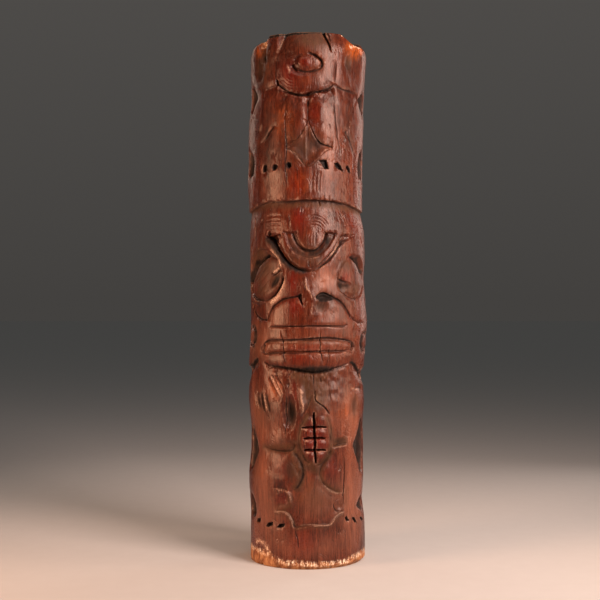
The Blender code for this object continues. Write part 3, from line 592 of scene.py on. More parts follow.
@dataclass
class UpperBody:
    """The upper figure's folded limbs, the star-shaped opening between them, and its claws."""

    star: float = 6.5
    claw: float = 9

    def carve(self, relief: Relief) -> None:
        """Parts the two limbs, opens the star, and marks the arms and claws.

        Args:
            relief: the pattern to cut.
        """
        valley = [(-1, 1066), (-1, 1040), (-1, 1020), (-1, 1002), (0, 986)]
        relief.cut(valley, (9, 10, 9, 6), (32, 30, 28), (20, 17, 14), ROUND_RIGHT, (6, 18))
        relief.cut([(-58, 1066), (-52, 1020), (-50, 980), (-52, 952)], 2, 26, 34, ROUND, (10, 16))
        self.carve_star(relief)
        for across in (11, 19, 27):
            relief.cut([(across + 3, 892), (across, 866), (across - 1, 838)], 1.4, 2.5, 3.5, ends=(10, 12))
        left_arm = [(-78, 993), (-89, 982), (-100, 968), (-111, 959), (-124, 954)]
        right_arm = [(84, 990), (98, 975), (112, 960), (122, 944), (134, 925)]
        relief.cut(left_arm, (4, 5, 3, 1), 2.5, 3, ends=(8, 18))
        relief.cut(left_arm, 1.2, 12, 14, ROUND, (14, 20))
        relief.cut(right_arm, (2, 4, 4), 16, 9, ROUND_LEFT, (18, 16))
        claws = [
            [(-109, 898), (-106, 904), (-99, 904), (-98, 896), (-102, 891), (-108, 892)],
            [(-82, 898), (-79, 904), (-73, 904), (-70, 900), (-74, 894), (-80, 893)],
            [(-48, 904), (-44, 908), (-38, 905), (-38, 899), (-42, 895), (-46, 898)],
            [(27, 911), (34, 912), (42, 913), (44, 905), (46, 896), (38, 896), (33, 904)],
            [(65, 905), (72, 908), (78, 904), (86, 891), (77, 895), (69, 899)],
            [(97, 900), (103, 903), (108, 897), (111, 889), (103, 892)],
        ]
        relief.pits(claws, self.claw)
        for across, up in ((31, 899), (69, 896), (-105, 887)):
            relief.swell((across, up), (9, 6), -20, -2)

    def carve_star(self, relief: Relief) -> None:
        """Sinks a four-pointed opening with a ridge down its middle and two undercut edges.

        Args:
            relief: the pattern to cut.
        """
        upper_right = curve([(1, 1003), (8, 981), (16, 966), (29, 952), (43, 946.5), (60, 942.5)])
        lower_left = curve([(-59, 943), (-42, 936), (-28, 927), (-15, 912), (-3, 896)])
        upper_left = curve([(-59, 943), (-40, 951), (-22, 961), (-9, 978), (1, 1003)])
        lower_right = curve([(-3, 896), (12, 905), (25, 919), (39, 934), (60, 942.5)])
        relief.hollow(np.vstack([upper_right, lower_right[::-1], lower_left[::-1], upper_left]), self.star,
                      14)
        relief.cut(lower_right, -4.5, 24, 3, ROUND_RIGHT, (10, 10))
        relief.cut(upper_right, (2, 4, 8, 8, 5), 1.8, 12, COVE_RIGHT, (8, 3))
        relief.cut(lower_left, (2, 4, 6, 3), 12, 2, COVE_LEFT, (8, 6))
        relief.cut(upper_right, (3, 5, 4), 24, 0, ends=(4, 6))
        relief.cut(upper_left, (3, 4, 3), 17, 0, ends=(10, 4))
        relief.cut(lower_left, 2, 0, 16, ROUND, (10, 10))
        relief.cut([(-5, 990), (-5, 950), (-4, 910)], -2, 3, 5, ends=(14, 10))
        relief.cut([(4, 990), (13, 968), (27, 948)], -2.2, 5, 5, ends=(8, 8))
        relief.cut([(-10, 968), (-22, 953), (-40, 943)], -1.5, 5, 5, ends=(8, 8))


@dataclass
class NeckGroove:
    """The groove round the whole log between the figures: a stop cut above and a sloping floor below."""

    depth: float = 9
    floor: float = 22
    slope: float = 44
    wall: float = 2.4

    def carve(self, relief: Relief) -> None:
        """Cuts below a level that dips towards the back, deeper on the front than on the sides.

        Args:
            relief: the pattern to cut.
        """
        line = np.array(
            [(-HALF_ROUND, 803), (-190, 803), (-150, 810), (-118, 818), (-95, 822), (-45, 821), (0, 823.5),
             (30, 823), (60, 821), (100, 817), (140, 809), (175, 803), (HALF_ROUND, 803)]
        )
        below = np.interp(relief.across, line[:, 0], line[:, 1]) - relief.up[:, None]
        slope = np.interp(below, (0.0, self.floor, self.slope), (1.0, 0.38, 0.0))
        wall = 1.0 - np.clip(-below / self.wall, 0.0, 1.0)
        share = 0.45 + 0.55 * np.cos(np.clip(relief.across / PATTERN_RADIUS, -1.3, 1.3))
        relief.depth += self.depth * share * np.where(below > 0, slope, wall)
        relief.cut([(-104, 816), (-80, 819.5), (-54, 819)], -1.2, 2.5, 3.5, ends=(8, 8))
        relief.cut([(27, 822), (30, 811)], 3, 2, 2, ends=(1, 3))


@dataclass
class ForeheadCrest:
    """Three nested U shapes on the forehead: a channel, a band and a sunk field round a tongue."""

    channel: float = 11
    floor: float = 4.5
    field_depth: float = 5

    def carve(self, relief: Relief) -> None:
        """Cuts the outer channel, deep on the left and shallow on the right, then the field.

        Args:
            relief: the pattern to cut.
        """
        deep = [(-104, 744), (-88, 734), (-76, 720), (-64, 704), (-52, 689.5), (-39, 678), (-22, 669),
                (0, 664.5), (14, 666)]
        relief.cut(deep, (self.channel, self.channel, 10, 8, 4, 2), 2.5, 1)
        relief.cut(deep, (self.channel, self.channel, 10, 8, 5, 2), (15, 13, 11, 9, 7, 4), 2.5,
                   (SCOOPED, STRAIGHT), (3, 14))
        shallow = [(2, 667), (16, 671), (30, 679), (44, 690), (57, 704), (68, 718), (79, 732), (91, 741),
                   (108, 745)]
        relief.channel(shallow, (2, 4.5, self.floor, self.floor, self.floor), (3.5, 5, 6, 6.5, 7, 7), 2,
                       (10, 10))
        outer = curve([(8, 664), (22, 669), (36, 678), (50, 690), (63, 704), (75, 720), (86, 732),
                       (100, 738)])
        inner = [(2, 671), (18, 677), (32, 686), (45, 697), (57, 711), (67, 725), (77, 739)]
        relief.cut(outer, 2.8, 1.8, 1.5, ends=(6, 8))
        relief.cut(inner, 2.8, 1.5, 1.8, ends=(6, 8))
        left_wedge = np.array([(-105, 744), (-84, 747.5), (-64, 750), (-64, 741), (-72, 727), (-86, 733),
                               (-105, 744)], float)
        right_wedge = np.array([(78, 746), (101, 747), (126, 749), (118, 741), (98, 733), (84, 722),
                                (75, 732), (78, 746)], float)
        relief.hollow(left_wedge, 9, 3)
        relief.hollow(right_wedge, 3.5, 4)
        relief.cut([(80, 746), (126, 749)], 3.5, 1.5, 7, COVE_RIGHT, (3, 6))
        outer = curve(
            [(-55, 753), (-50, 735), (-42, 718), (-30, 705), (-14, 697), (4, 694), (22, 697), (36, 705),
             (50, 718), (61, 733), (69, 750)]
        )
        tongue = curve([(41, 753), (37, 740), (30, 727), (20, 718), (8, 714.5), (-5, 718), (-15, 728),
                        (-22, 740), (-28, 753)])
        relief.hollow(np.vstack([outer, tongue, outer[:1]]), self.field_depth, 3.5)
        beside = [(-35, 751), (-29, 735), (-18, 721), (-4, 713), (10, 711), (22, 715), (31, 724), (38, 738),
                  (43, 751)]
        relief.cut(beside, (6, 5, 5, 6, 8, 7, 9), 3, (5, 7, 9, 9), ROUND_LEFT, (1.5, 1.5))
        relief.cut([(-59, 753.5), (-24, 753)], 4, 1.5, 8, COVE_RIGHT, (2, 2))
        relief.cut([(37, 753), (71, 749.5)], 5, 1.5, 9, COVE_RIGHT, (2, 2))
        band = [(-62, 746), (-55, 726), (-44, 707), (-30, 692), (-12, 683), (6, 681), (24, 685), (40, 696),
                (54, 711), (66, 728), (75, 744)]
        relief.cut(band, -1.2, 9, 9, SCOOP, (8, 8))
        for inset in (0.0, 6.5, 13.0):
            rib = [(20 - inset * 0.3, 699 + inset), (38 - inset * 0.7, 709 + inset * 0.7),
                   (53 - inset, 725 + inset * 0.4), (62 - inset, 742)]
            relief.cut(rib, -1.2, 2.2, 2.8, ends=(8, 5))
        relief.swell((8, 730), (22, 36), 0, 2)
        for across in (-2, 4, 10, 17):
            relief.cut([(across + 3, 756), (across, 738), (across + 1, 720)], 1, 2, 2, ends=(12, 5))
        self.carve_ripples(relief)

    def carve_ripples(self, relief: Relief) -> None:
        """Leaves the gouge's ripples on the brow: arches over the tongue and level ones on the left.

        Args:
            relief: the pattern to cut.
        """
        for reach in (27, 34, 41, 48):
            relief.cut(arc((16, 742), (reach * 0.8, reach), (30, 125), 9), 1.2, 3, 2, ends=(12, 12))
        for up in (763, 771, 780, 790):
            relief.cut([(-108, up - 1), (-84, up + 1), (-60, up)], 1.1, 2, 4.5, ends=(10, 10))


@dataclass
class Eyes:
    """Two deep sockets at the corners of the lower face, each with a big tilted eyeball and a lid line."""

    socket: float = 4.5
    crease: float = 10
    ball: float = 7

    def carve(self, relief: Relief) -> None:
        """Carves the left eye, then the right one and the cheek lines under both.

        Args:
            relief: the pattern to cut.
        """
        self.carve_left(relief)
        self.carve_right(relief)
        left_cheek = [(-178, 600), (-163, 584), (-150, 569), (-134, 561), (-114, 556), (-98, 556)]
        relief.cut(left_cheek, (3, 4, 3, 2), 24, 6, ROUND_LEFT, (14, 8))
        relief.cut(left_cheek, (3, 4, 4, 3), 2.4, 3, ends=(10, 8))
        relief.cut([(112, 560), (130, 552), (150, 549), (172, 552)], 3, 22, 6, ROUND_LEFT, (8, 14))

    def carve_left(self, relief: Relief) -> None:
        """Sinks the socket with a crisp rim, cuts the crease under its brow, and swells the eyeball.

        Args:
            relief: the pattern to cut.
        """
        socket = [(-190, 636), (-186, 668), (-172, 696), (-152, 713), (-124, 719), (-101, 717), (-86, 709),
                  (-72, 697), (-64, 681), (-58, 662), (-56, 645), (-62, 628), (-76, 611), (-96, 600),
                  (-120, 597), (-146, 601), (-168, 610), (-184, 622)]
        relief.hollow(socket, self.socket, 4)
        crease = [(-190, 638), (-174, 649), (-163, 658), (-151, 669), (-138, 680), (-121, 688), (-107, 696),
                  (-93, 703)]
        relief.cut(crease, (6, self.crease, self.crease, 8, 5), (10, 22, 24, 18, 10), 20, ROUND_RIGHT,
                   (8, 10))
        relief.cut(crease, (6, 10, 12, 10, 6), (5, 7, 7, 4.5, 3), 2.4, ends=(8, 10))
        relief.swell((-150, 683), (12, 18), -20, -5)
        relief.swell((-115, 644), (66, 45), 38, self.ball, 0.6)
        lower = [(-176, 634), (-170, 620), (-154, 608), (-133, 601), (-112, 599), (-96, 603), (-82, 613),
                 (-70, 627), (-61, 642), (-58, 658)]
        relief.cut(lower, (4, 6, 4, 4, 5, 6), 10, (2, 2, 3, 7, 5), ROUND_LEFT, (10, 12))
        relief.swell((-79, 644), (12, 22), -37, -4)
        for shift in (-24, -11, 3, 17):
            middle = np.array([-115 - 0.62 * shift, 644 + 0.79 * shift])
            relief.cut(middle + np.array([(-30, -23), (-2, -3), (28, 23)], float), 1.3, 7, 5, ROUND,
                       (16, 16))
        lid = [(-62, 669), (-73, 662), (-86, 654)]
        relief.cut(lid, (4, 6, 4), 1.6, 9, ends=(3, 4))
        relief.cut([(-65, 674), (-75, 667), (-85, 661)], -3.5, 4, 4, ROUND, (2, 3))

    def carve_right(self, relief: Relief) -> None:
        """Sinks a softer socket, with its crease further round and a hollow in its inner corner.

        Args:
            relief: the pattern to cut.
        """
        socket = [(72, 668), (72, 646), (77, 628), (88, 613), (104, 603), (126, 600), (148, 607),
                  (166, 622), (178, 644), (178, 668), (168, 688), (148, 702), (124, 706), (100, 700),
                  (82, 688)]
        relief.hollow(socket, self.socket * 0.8, 12)
        crease = [(96, 697), (114, 697), (126, 692), (140, 683), (155, 672), (172, 660)]
        relief.cut(crease, (2, 4, 7, 8, 6), (8, 12, 18, 20), 24, ROUND_RIGHT, (14, 10))
        relief.cut(crease, (1, 4, 5, 5), 3.5, 3, ends=(16, 10))
        relief.swell((122, 650), (56, 42), -30, self.ball * 0.8, 0.75)
        lower = [(74, 668), (73, 648), (78, 630), (88, 616), (104, 607), (124, 603), (144, 609), (162, 624),
                 (172, 640)]
        relief.cut(lower, (2, 4, 5, 4, 4, 3), 12, 3, ROUND_LEFT, (12, 14))
        relief.swell((84, 634), (15, 17), 20, -4)
        relief.swell((101, 633), (14, 9), 0, -2.5)
        relief.cut([(71, 650), (80, 647), (91, 643), (106, 641)], 2.5, 2, 8, COVE_RIGHT, (4, 8))
        for reach in (14, 21, 28, 35):
            relief.cut(arc((106, 636), (reach, reach * 0.8), (-80, 15), 7), 1, 3, 1.8, ends=(8, 8))


@dataclass
class Muzzle:
    """The broad muzzle: a nose ridge, a stop cut over each nostril, and the line over the upper lip."""

    def carve(self, relief: Relief) -> None:
        """Cuts the nostril arcs, raises the nose and draws the lip line.

        Args:
            relief: the pattern to cut.
        """
        left_arc = [(-100, 553), (-97, 566), (-91, 578), (-82, 587), (-71, 595.5), (-58, 602.5), (-43, 606),
                    (-27, 608), (-13, 614)]
        right_arc = [(17, 605), (24, 612.5), (36, 616.5), (50, 611.5), (63, 605), (76, 599.5), (87, 590),
                     (96, 579), (104, 566), (108, 554)]
        relief.cut(left_arc, (3, 4, 5, 7, 7, 9), 2.2, (10, 18, 26, 22, 14), ROUND_RIGHT, (10, 3))
        relief.cut(right_arc, (8, 9, 7, 5, 5, 4), 2.2, (14, 20, 26, 20, 10), ROUND_RIGHT, (3, 10))
        relief.cut(left_arc, 2, 16, 0, ROUND_LEFT, (20, 10))
        relief.cut(right_arc, 2, 16, 0, ROUND_LEFT, (10, 20))
        relief.cut([(-99, 572), (-100, 560), (-94, 550)], 3, 10, 6, ROUND, (6, 6))
        relief.cut([(104, 568), (116, 558), (132, 552), (148, 550)], 3, 4, 6, ends=(4, 12))
        left_nostril = np.array([(-25, 608), (-13, 615), (-12, 601), (-9, 583), (-16, 592), (-21, 601),
                                 (-25, 608)], float)
        right_nostril = np.array([(17, 605), (25, 613), (36, 616), (50, 611), (61, 605), (56, 600),
                                  (42, 598), (28, 597), (17, 605)], float)
        relief.hollow(left_nostril, 7, 3)
        relief.hollow(right_nostril, 8, 8)
        # Painted shade fills the right nostril.
        near = relief.read(right_nostril, 3.0)
        relief.layer("soot_and_shade")[near.patch] += 2.0 * relief.inside(right_nostril, near.patch)
        relief.swell((32, 588), (17, 16), 10, -4)
        relief.swell((-27, 596), (14, 11), -20, -3)
        ridge = [(-6, 666), (-5, 650), (-3, 630), (3, 620), (8, 610), (9, 596), (5, 575), (3, 556)]
        relief.cut(ridge, (-1.5, -4, -5.5, -5, -4), (56, 52, 34, 26, 22), (34, 30, 24, 18), ends=(34, 14))
        relief.cut([(-5, 652), (-3, 630), (4, 619), (9, 604)], -1, 2, 2.5, ends=(4, 6))
        for across, up, lean in ((30, 592, 12), (38, 590, 14), (22, 588, 8)):
            relief.cut([(across, up + 9), (across - lean * 0.2, up - 4), (across - lean * 0.6, up - 14)], 1,
                       2, 2, ends=(5, 6))
        lip_line = [(-96, 541), (-66, 541), (0, 542.5), (50, 543), (82, 542), (96, 546)]
        relief.cut(lip_line, (1, 3.5, 4.5, 4.5, 3.5, 1), 2, 2.2, ends=(6, 6))
        relief.cut(lip_line, 2.5, 10, 9, ROUND, (8, 8))


@dataclass
class Mouth:
    """The wide mouth: a sunk slot with a tongue in it, and a lower lip that overhangs the chest."""

    slot: float = 6
    tongue: float = 5
    chin: float = 11

    def carve(self, relief: Relief) -> None:
        """Sinks the slot, raises the tongue in it, and undercuts the lower lip.

        Args:
            relief: the pattern to cut.
        """
        upper = [(-121, 484), (-119, 494), (-111, 502), (-97, 510), (-62, 511.5), (-30, 512.5), (0, 515),
                 (20, 516.5), (45, 517), (64, 515.5), (84, 512), (104, 508), (117, 502), (122, 493)]
        lower = [(113, 485), (70, 481), (40, 480), (0, 480), (-40, 479), (-75, 479), (-110, 475)]
        slot = curve(upper + lower, True)
        relief.cut(slot, 1.5, 10, 0, ROUND_LEFT)
        relief.hollow(slot, self.slot, 4.5)
        edge = curve(upper)
        relief.cut(edge, (3, 5, 4, 5, 7, 6, 5, 5, 4), 1.6, 8, COVE_RIGHT, (4, 2))
        right_end = [(106, 508), (117, 501), (121, 493), (116, 486), (104, 483)]
        relief.cut(right_end, 1.2, 3, 6, ends=(6, 6))
        middle = [(-110, 491), (-80, 495), (-40, 496), (0, 497), (50, 498), (90, 497), (112, 494)]
        relief.cut(middle, -self.tongue, 13, 11, SCOOP, (4, 4))
        relief.cut([(-60, 486), (-10, 485.5), (30, 486.5), (70, 487), (100, 488)], (1, 2, 3.5, 2.5, 1), 3,
                   2, ends=(12, 8))
        relief.cut([(-113, 478), (-60, 481), (0, 482), (60, 483), (112, 487)], (3, 1.5, 1, 1.5, 2), 5, 3,
                   ends=(4, 8))
        chin = [(-112, 460), (-94, 453), (-62, 450.5), (-32, 446.5), (-6, 442), (18, 439.5), (44, 442.5),
                (68, 448), (92, 452.5), (108, 459)]
        chest = [(-116, 452), (-62, 450), (-30, 446), (0, 441.5), (20, 439.5), (45, 443), (70, 448),
                 (112, 453)]
        relief.cut(chest, self.chin * 0.7, 4, 96, ROUND_LEFT, (52, 46))
        relief.cut(chin, (2, 4, 7, 10, 9, 5, 2), (4, 7, 13, 15, 9, 4), 9, (ROUNDED, COVED), (14, 14))
        relief.cut(chin, 5, 22, 0, ROUND_LEFT, (10, 10))
        for across in (-48, -36, -22, -8, 6, 24, 40, 56):
            relief.cut([(across, 448), (across * 0.96, 436), (across * 0.94 + 1, 424)], 1.1, 2.5, 3.5,
                       ends=(4, 8))


@dataclass
class JawSides:
    """An ear boss on each side of the lower head, and the cut under the jaw that runs round the side."""

    ring: float = 10
    left_neck: float = 17
    right_neck: float = 14.5

    def carve(self, relief: Relief) -> None:
        """Rings the bosses and cuts the jaws and the hollows under them.

        Args:
            relief: the pattern to cut.
        """
        angles = np.linspace(0.0, 2.0 * math.pi, 49)
        for across, up in ((-181, 518), (183, 505)):
            ring = np.column_stack([across + 38 * np.cos(angles), up + 21 * np.sin(angles)])
            relief.cut(ring, self.ring, 12, 4, ROUND_LEFT)
        left_jaw = [(-131, 469), (-149, 461), (-165, 452), (-186, 445), (-216, 441)]
        right_jaw = [(106, 462), (125, 455.5), (140, 446), (157, 436), (190, 432)]
        relief.cut(left_jaw, 9, 22, 5, ROUND_RIGHT, (6, 10))
        relief.cut(right_jaw, (5, 8, 8), 4, 20, ROUND_LEFT, (10, 10))
        left_neck = [(-163, 446), (-176, 418), (-196, 403), (-220, 400), (-240, 412), (-243, 436),
                     (-220, 448), (-186, 449)]
        right_neck = [(158, 436), (172, 417), (190, 405), (215, 401), (236, 413), (238, 434), (210, 446),
                      (180, 446)]
        # Painted shade and sooty colour darken the hollows under the jaws.
        relief.hollow(left_neck, self.left_neck, 9, soot_and_shade=1.6)
        relief.hollow(right_neck, self.right_neck, 9, soot_and_shade=1.6)


@dataclass
class SideHollows:
    """The deep hollows down both sides, which free the figures' outlines from the back of the log."""

    left: float = 24
    right: float = 18

    def carve(self, relief: Relief) -> None:
        """Hollows each outline and rounds the wood over its rim.

        Args:
            relief: the pattern to cut.
        """
        left = [
            [(-143, 1062), (-158, 1078), (-176, 1091), (-196, 1096), (-209, 1084), (-212, 1060),
             (-207, 1035), (-190, 1023), (-172, 1033), (-155, 1048)],
            [(-147, 905), (-149, 921), (-160, 934), (-178, 946), (-198, 952), (-211, 940), (-214, 910),
             (-209, 888), (-190, 881), (-165, 882), (-151, 889)],
            [(-137, 262), (-146, 280), (-160, 297), (-178, 312), (-196, 322), (-209, 310), (-213, 262),
             (-207, 215), (-190, 203), (-170, 214), (-155, 230), (-143, 246)],
            [(-147, 125), (-152, 141), (-165, 151), (-185, 156), (-204, 150), (-211, 128), (-206, 105),
             (-188, 96), (-166, 98), (-151, 109)],
        ]
        right = [
            [(143, 1057), (157, 1071), (178, 1081), (200, 1084), (212, 1068), (213, 1045), (203, 1030),
             (182, 1027), (160, 1039)],
            [(147, 905), (151, 925), (162, 940), (182, 948), (202, 944), (213, 925), (213, 900), (203, 880),
             (180, 875), (158, 881)],
            [(122, 270), (132, 285), (146, 302), (162, 320), (180, 333), (200, 329), (212, 300), (213, 250),
             (203, 212), (182, 200), (162, 208), (150, 224), (138, 243), (127, 259)],
            [(143, 130), (155, 141), (175, 150), (198, 150), (210, 133), (203, 116), (182, 111),
             (160, 119)],
        ]
        for outlines, depth in ((left, self.left), (right, self.right)):
            for points in outlines:
                outline = curve(points, True)
                # Painted shade and sooty colour darken the inner hollow.
                relief.hollow(outline, 0.55 * depth, 8, soot_and_shade=1.6)
                relief.hollow(outline, 0.45 * depth, 24)
                relief.cut(outline, 4, 14, 14, ROUND)
        relief.cut([(-156, 742), (-168, 726), (-182, 708)], 4, 3, 3, ends=(6, 8))


@dataclass
class ChestAndArms:
    """The lower figure's chest and arms: shoulder facets, a hand on the left, and the hollow between."""

    def carve(self, relief: Relief) -> None:
        """Sinks the hollows beside the chest, then the hand, the panel's edge and the elbows.

        Args:
            relief: the pattern to cut.
        """
        relief.cut([(-46, 436), (-46, 390), (-42, 350), (-48, 300)], 4, 24, 30, ROUND, (30, 30))
        relief.cut([(50, 428), (53, 390), (58, 350), (62, 310)], 1.5, 26, 26, ROUND, (26, 30))
        relief.swell((-41, 350), (15, 42), 0, -8)
        relief.cut([(-56, 392), (-57, 350), (-54, 312)], 3, 20, 2.5, ends=(14, 14))
        ridge = [(-26, 414), (-17, 402), (-15, 384), (-10, 364), (-13, 346)]
        relief.cut(ridge, (-3, -5, -5, -3), (13, 10), 8, ends=(12, 10))
        right_arm = [(17, 400), (17, 388), (18, 377), (31, 366), (42, 358), (52, 343)]
        relief.cut(right_arm, (3, 5, 4, 3, 4, 2), 2.6, 1.8, ends=(6, 6))
        relief.cut([(14, 398), (5, 376), (-5, 356), (-14, 340)], 2.5, 3, 7, ends=(8, 8))
        relief.swell((20, 362), (22, 26), 0, 2.5)
        relief.cut([(29, 427), (33, 417)], 3, 2.5, 2.5, ends=(2, 2))
        for shift in (0, 8, 16):
            stroke = [(-96 + shift, 428 + shift * 0.7), (-81 + shift, 404 + shift * 0.7),
                      (-66 + shift, 380 + shift * 0.7)]
            relief.cut(stroke, (3.5, 3.5, 2), 2, 7, ends=(6, 14))
        for across, up, depth in (
            (-142, 374, 3), (-133, 378, -2), (-126, 376, 4), (-119, 370, -1.5), (-113, 366, 4.5),
            (-103, 372, 4), (-96, 362, 2.5),
        ):
            finger = [(across - 5, up + 22), (across - 1, up + 4), (across + 6, up - 22)]
            relief.cut(finger, depth, 2.6, 3.6, ends=(14, 16))
        left_elbow = [(-124, 268), (-100, 264.5), (-80, 262.5), (-58, 261.5), (-43, 262), (-34, 269),
                      (-29, 282)]
        relief.cut(left_elbow, (2, 5, 7, 8, 5), 24, 28, ROUND, (24, 8))
        relief.cut([(58, 272), (72, 275), (88, 277), (104, 279)], (5, 8, 6, 2), 20, 4, ROUND_LEFT, (6, 14))
        relief.cut([(60, 269), (80, 270), (104, 272)], -1.5, 3, 4, ends=(8, 10))
        relief.swell((80, 284), (16, 9), 6, -3)
        relief.cut([(110, 390), (128, 396), (150, 400), (164, 398)], 4, 4, 22, ROUND_RIGHT, (10, 8))
        relief.swell((126, 362), (13, 26), -8, -3)
        relief.cut([(44, 436), (52, 400), (54, 360), (58, 330)], 1.5, 12, 34, ROUND_LEFT, (16, 16))


@dataclass
class Lattice:
    """A leaf-shaped panel on the belly, crossed by one upright slot and three level ones."""

    slot: float = 10
    edge: float = 2
    middle: float = 15.5
    levels: tuple[float, float, float] = (316.5, 292, 265.5)
    ends: tuple[Pair, ...] = ((-15, 46), (-11, 43), (-10, 44))

    def carve(self, relief: Relief) -> None:
        """Sets the leaf off from the chest and cuts its slots.

        Args:
            relief: the pattern to cut.
        """
        left = [(4, 350), (-6, 334), (-15, 316), (-20, 300), (-20, 284), (-16, 266), (-8, 249), (6, 234)]
        right = [(42, 344), (50, 326), (55, 308), (58, 290), (55, 271), (47, 253), (35, 238), (20, 230)]
        relief.cut(left, (2, self.edge, self.edge, self.edge, 3), 3, 12, (ROUNDED, COVED), (10, 6))
        relief.cut(right, (2, self.edge, self.edge, self.edge, 3), 12, 3, (COVED, ROUNDED), (10, 6))
        upright = [(14.5, 352), (14, 338), (15.5, 322), (15, 304), (17, 288), (16, 268), (17.5, 252),
                   (19, 235)]
        relief.channel(upright, self.slot, (2.4, 3.4, 3.8, 3.2, 3.8, 3.6, 3.4, 2.4), 1.4, (3, 6))
        relief.cut(upright, 2, 8, 7, ROUND, (8, 8))
        for up, (left_end, right_end) in zip(self.levels, self.ends):
            slot = [(left_end, up - 0.5), (self.middle - 12, up + 0.6), (self.middle, up),
                    (self.middle + 14, up + 0.8), (right_end, up)]
            relief.channel(slot, self.slot * 0.8, (2, 2.8, 3.4, 2.8, 2), 1.3, (3, 3))
            relief.cut(slot, 3, 6, 9, ROUND, (6, 6))
        for centre, radii in (
            ((2, 330), (11, 12)), ((30, 331), (13, 13)), ((1, 304), (12, 8)), ((31, 304), (13, 8)),
            ((1, 279), (13, 9)), ((32, 279), (13, 9)), ((4, 251), (11, 10)), ((30, 251), (12, 10)),
        ):
            relief.swell(centre, radii, 0, 2.2)


@dataclass
class LegsAndFeet:
    """The lower figure's bent legs, the sunk apron between them down to the ridge, and the claws below."""

    thigh: float = 7
    apron: float = 3
    claw: float = 9

    def carve(self, relief: Relief) -> None:
        """Rounds the legs over the apron, and cuts the ridge, the shin hollow, the knot and the claws.

        Args:
            relief: the pattern to cut.
        """
        left_leg = [(-40, 264), (-31, 257), (-22, 245), (-14, 230), (-11, 215), (-14, 200), (-21, 187),
                    (-31, 177), (-46, 173)]
        right_leg = [(60, 266), (47, 246), (34, 229), (29.5, 212), (33, 198), (42, 187), (54, 178.5),
                     (68, 172), (84, 167), (99, 167)]
        relief.cut(left_leg, (4, 8, 8, 8, 4), 30, 46, ROUND_RIGHT, (10, 14))
        relief.cut(right_leg, (3, 6, self.thigh, 6, 5, 4), 40, 26, (ROUNDED, COVED), (10, 14))
        apron = [(10, 236), (-4, 222), (-9, 204), (-18, 186), (-34, 174), (-37, 152), (-41, 132),
                 (-36, 113), (-28, 96), (-8, 97), (12, 101), (32, 101), (51, 101), (62, 112), (80, 121),
                 (93, 127), (93, 148), (88, 166), (66, 171), (46, 183), (32, 198), (27, 214), (20, 228)]
        relief.hollow(apron, self.apron, 14)
        ridge = [(-82, 124), (-66, 126.5), (-52, 125.5), (-42, 118), (-36, 107), (-30, 93), (-12, 95),
                 (8, 99.5), (30, 100), (50, 98.5), (59, 107), (70, 115), (82, 120), (96, 127)]
        relief.cut(ridge, (3, 5, 5, 5, 4, 3.5, 3), 22, 2, COVE_LEFT, (16, 20))
        relief.cut(ridge, -1.4, 1.5, 5, ends=(10, 16))
        shin = [(-82, 146), (-74, 164), (-58, 170), (-44, 166), (-41, 150), (-45, 136), (-60, 129),
                (-77, 131)]
        relief.hollow(shin, 4.5, 15)
        relief.cut([(-84, 181), (-64, 178.5), (-46, 176)], (3, 5, 4), 22, 5, ROUND_LEFT, (12, 3))
        relief.cut([(-48, 176), (-41, 160), (-39, 138)], -2, 4, 6, ends=(4, 8))
        for across, up in ((-72, 172), (-62, 171), (-52, 168)):
            relief.cut([(across - 3, up + 5), (across + 3, up - 8)], 1.5, 2, 3, ends=(4, 5))
        for shift in (0, 7, 14):
            relief.cut([(-44 + shift, 250 - shift * 1.6), (-36 + shift, 238 - shift * 1.6),
                        (-32 + shift, 222 - shift * 1.6)], 0.7, 2, 4, ends=(5, 8))
        knot = [(84, 153), (72, 151), (65, 142), (67, 131), (77, 124.5), (91, 126)]
        relief.cut(knot, (2, 4, 6, 5, 3), 11, 2.5, ROUND_LEFT, (6, 6))
        relief.swell((78, 138), (12, 13), 0, -3)
        claws = [
            [(-143, 94), (-139, 101), (-128, 104), (-128, 98), (-134, 94)],
            [(-105, 90), (-98, 98), (-87, 100), (-88, 94), (-97, 90)],
            [(-73, 91), (-67, 98), (-55, 100), (-57, 94), (-65, 91)],
            [(94, 110), (99, 112), (105, 103), (98, 102)],
            [(118, 106), (126, 106), (135, 95), (126, 96)],
            [(154, 101), (162, 102), (171, 94), (161, 94)],
        ]
        relief.pits(claws, self.claw)


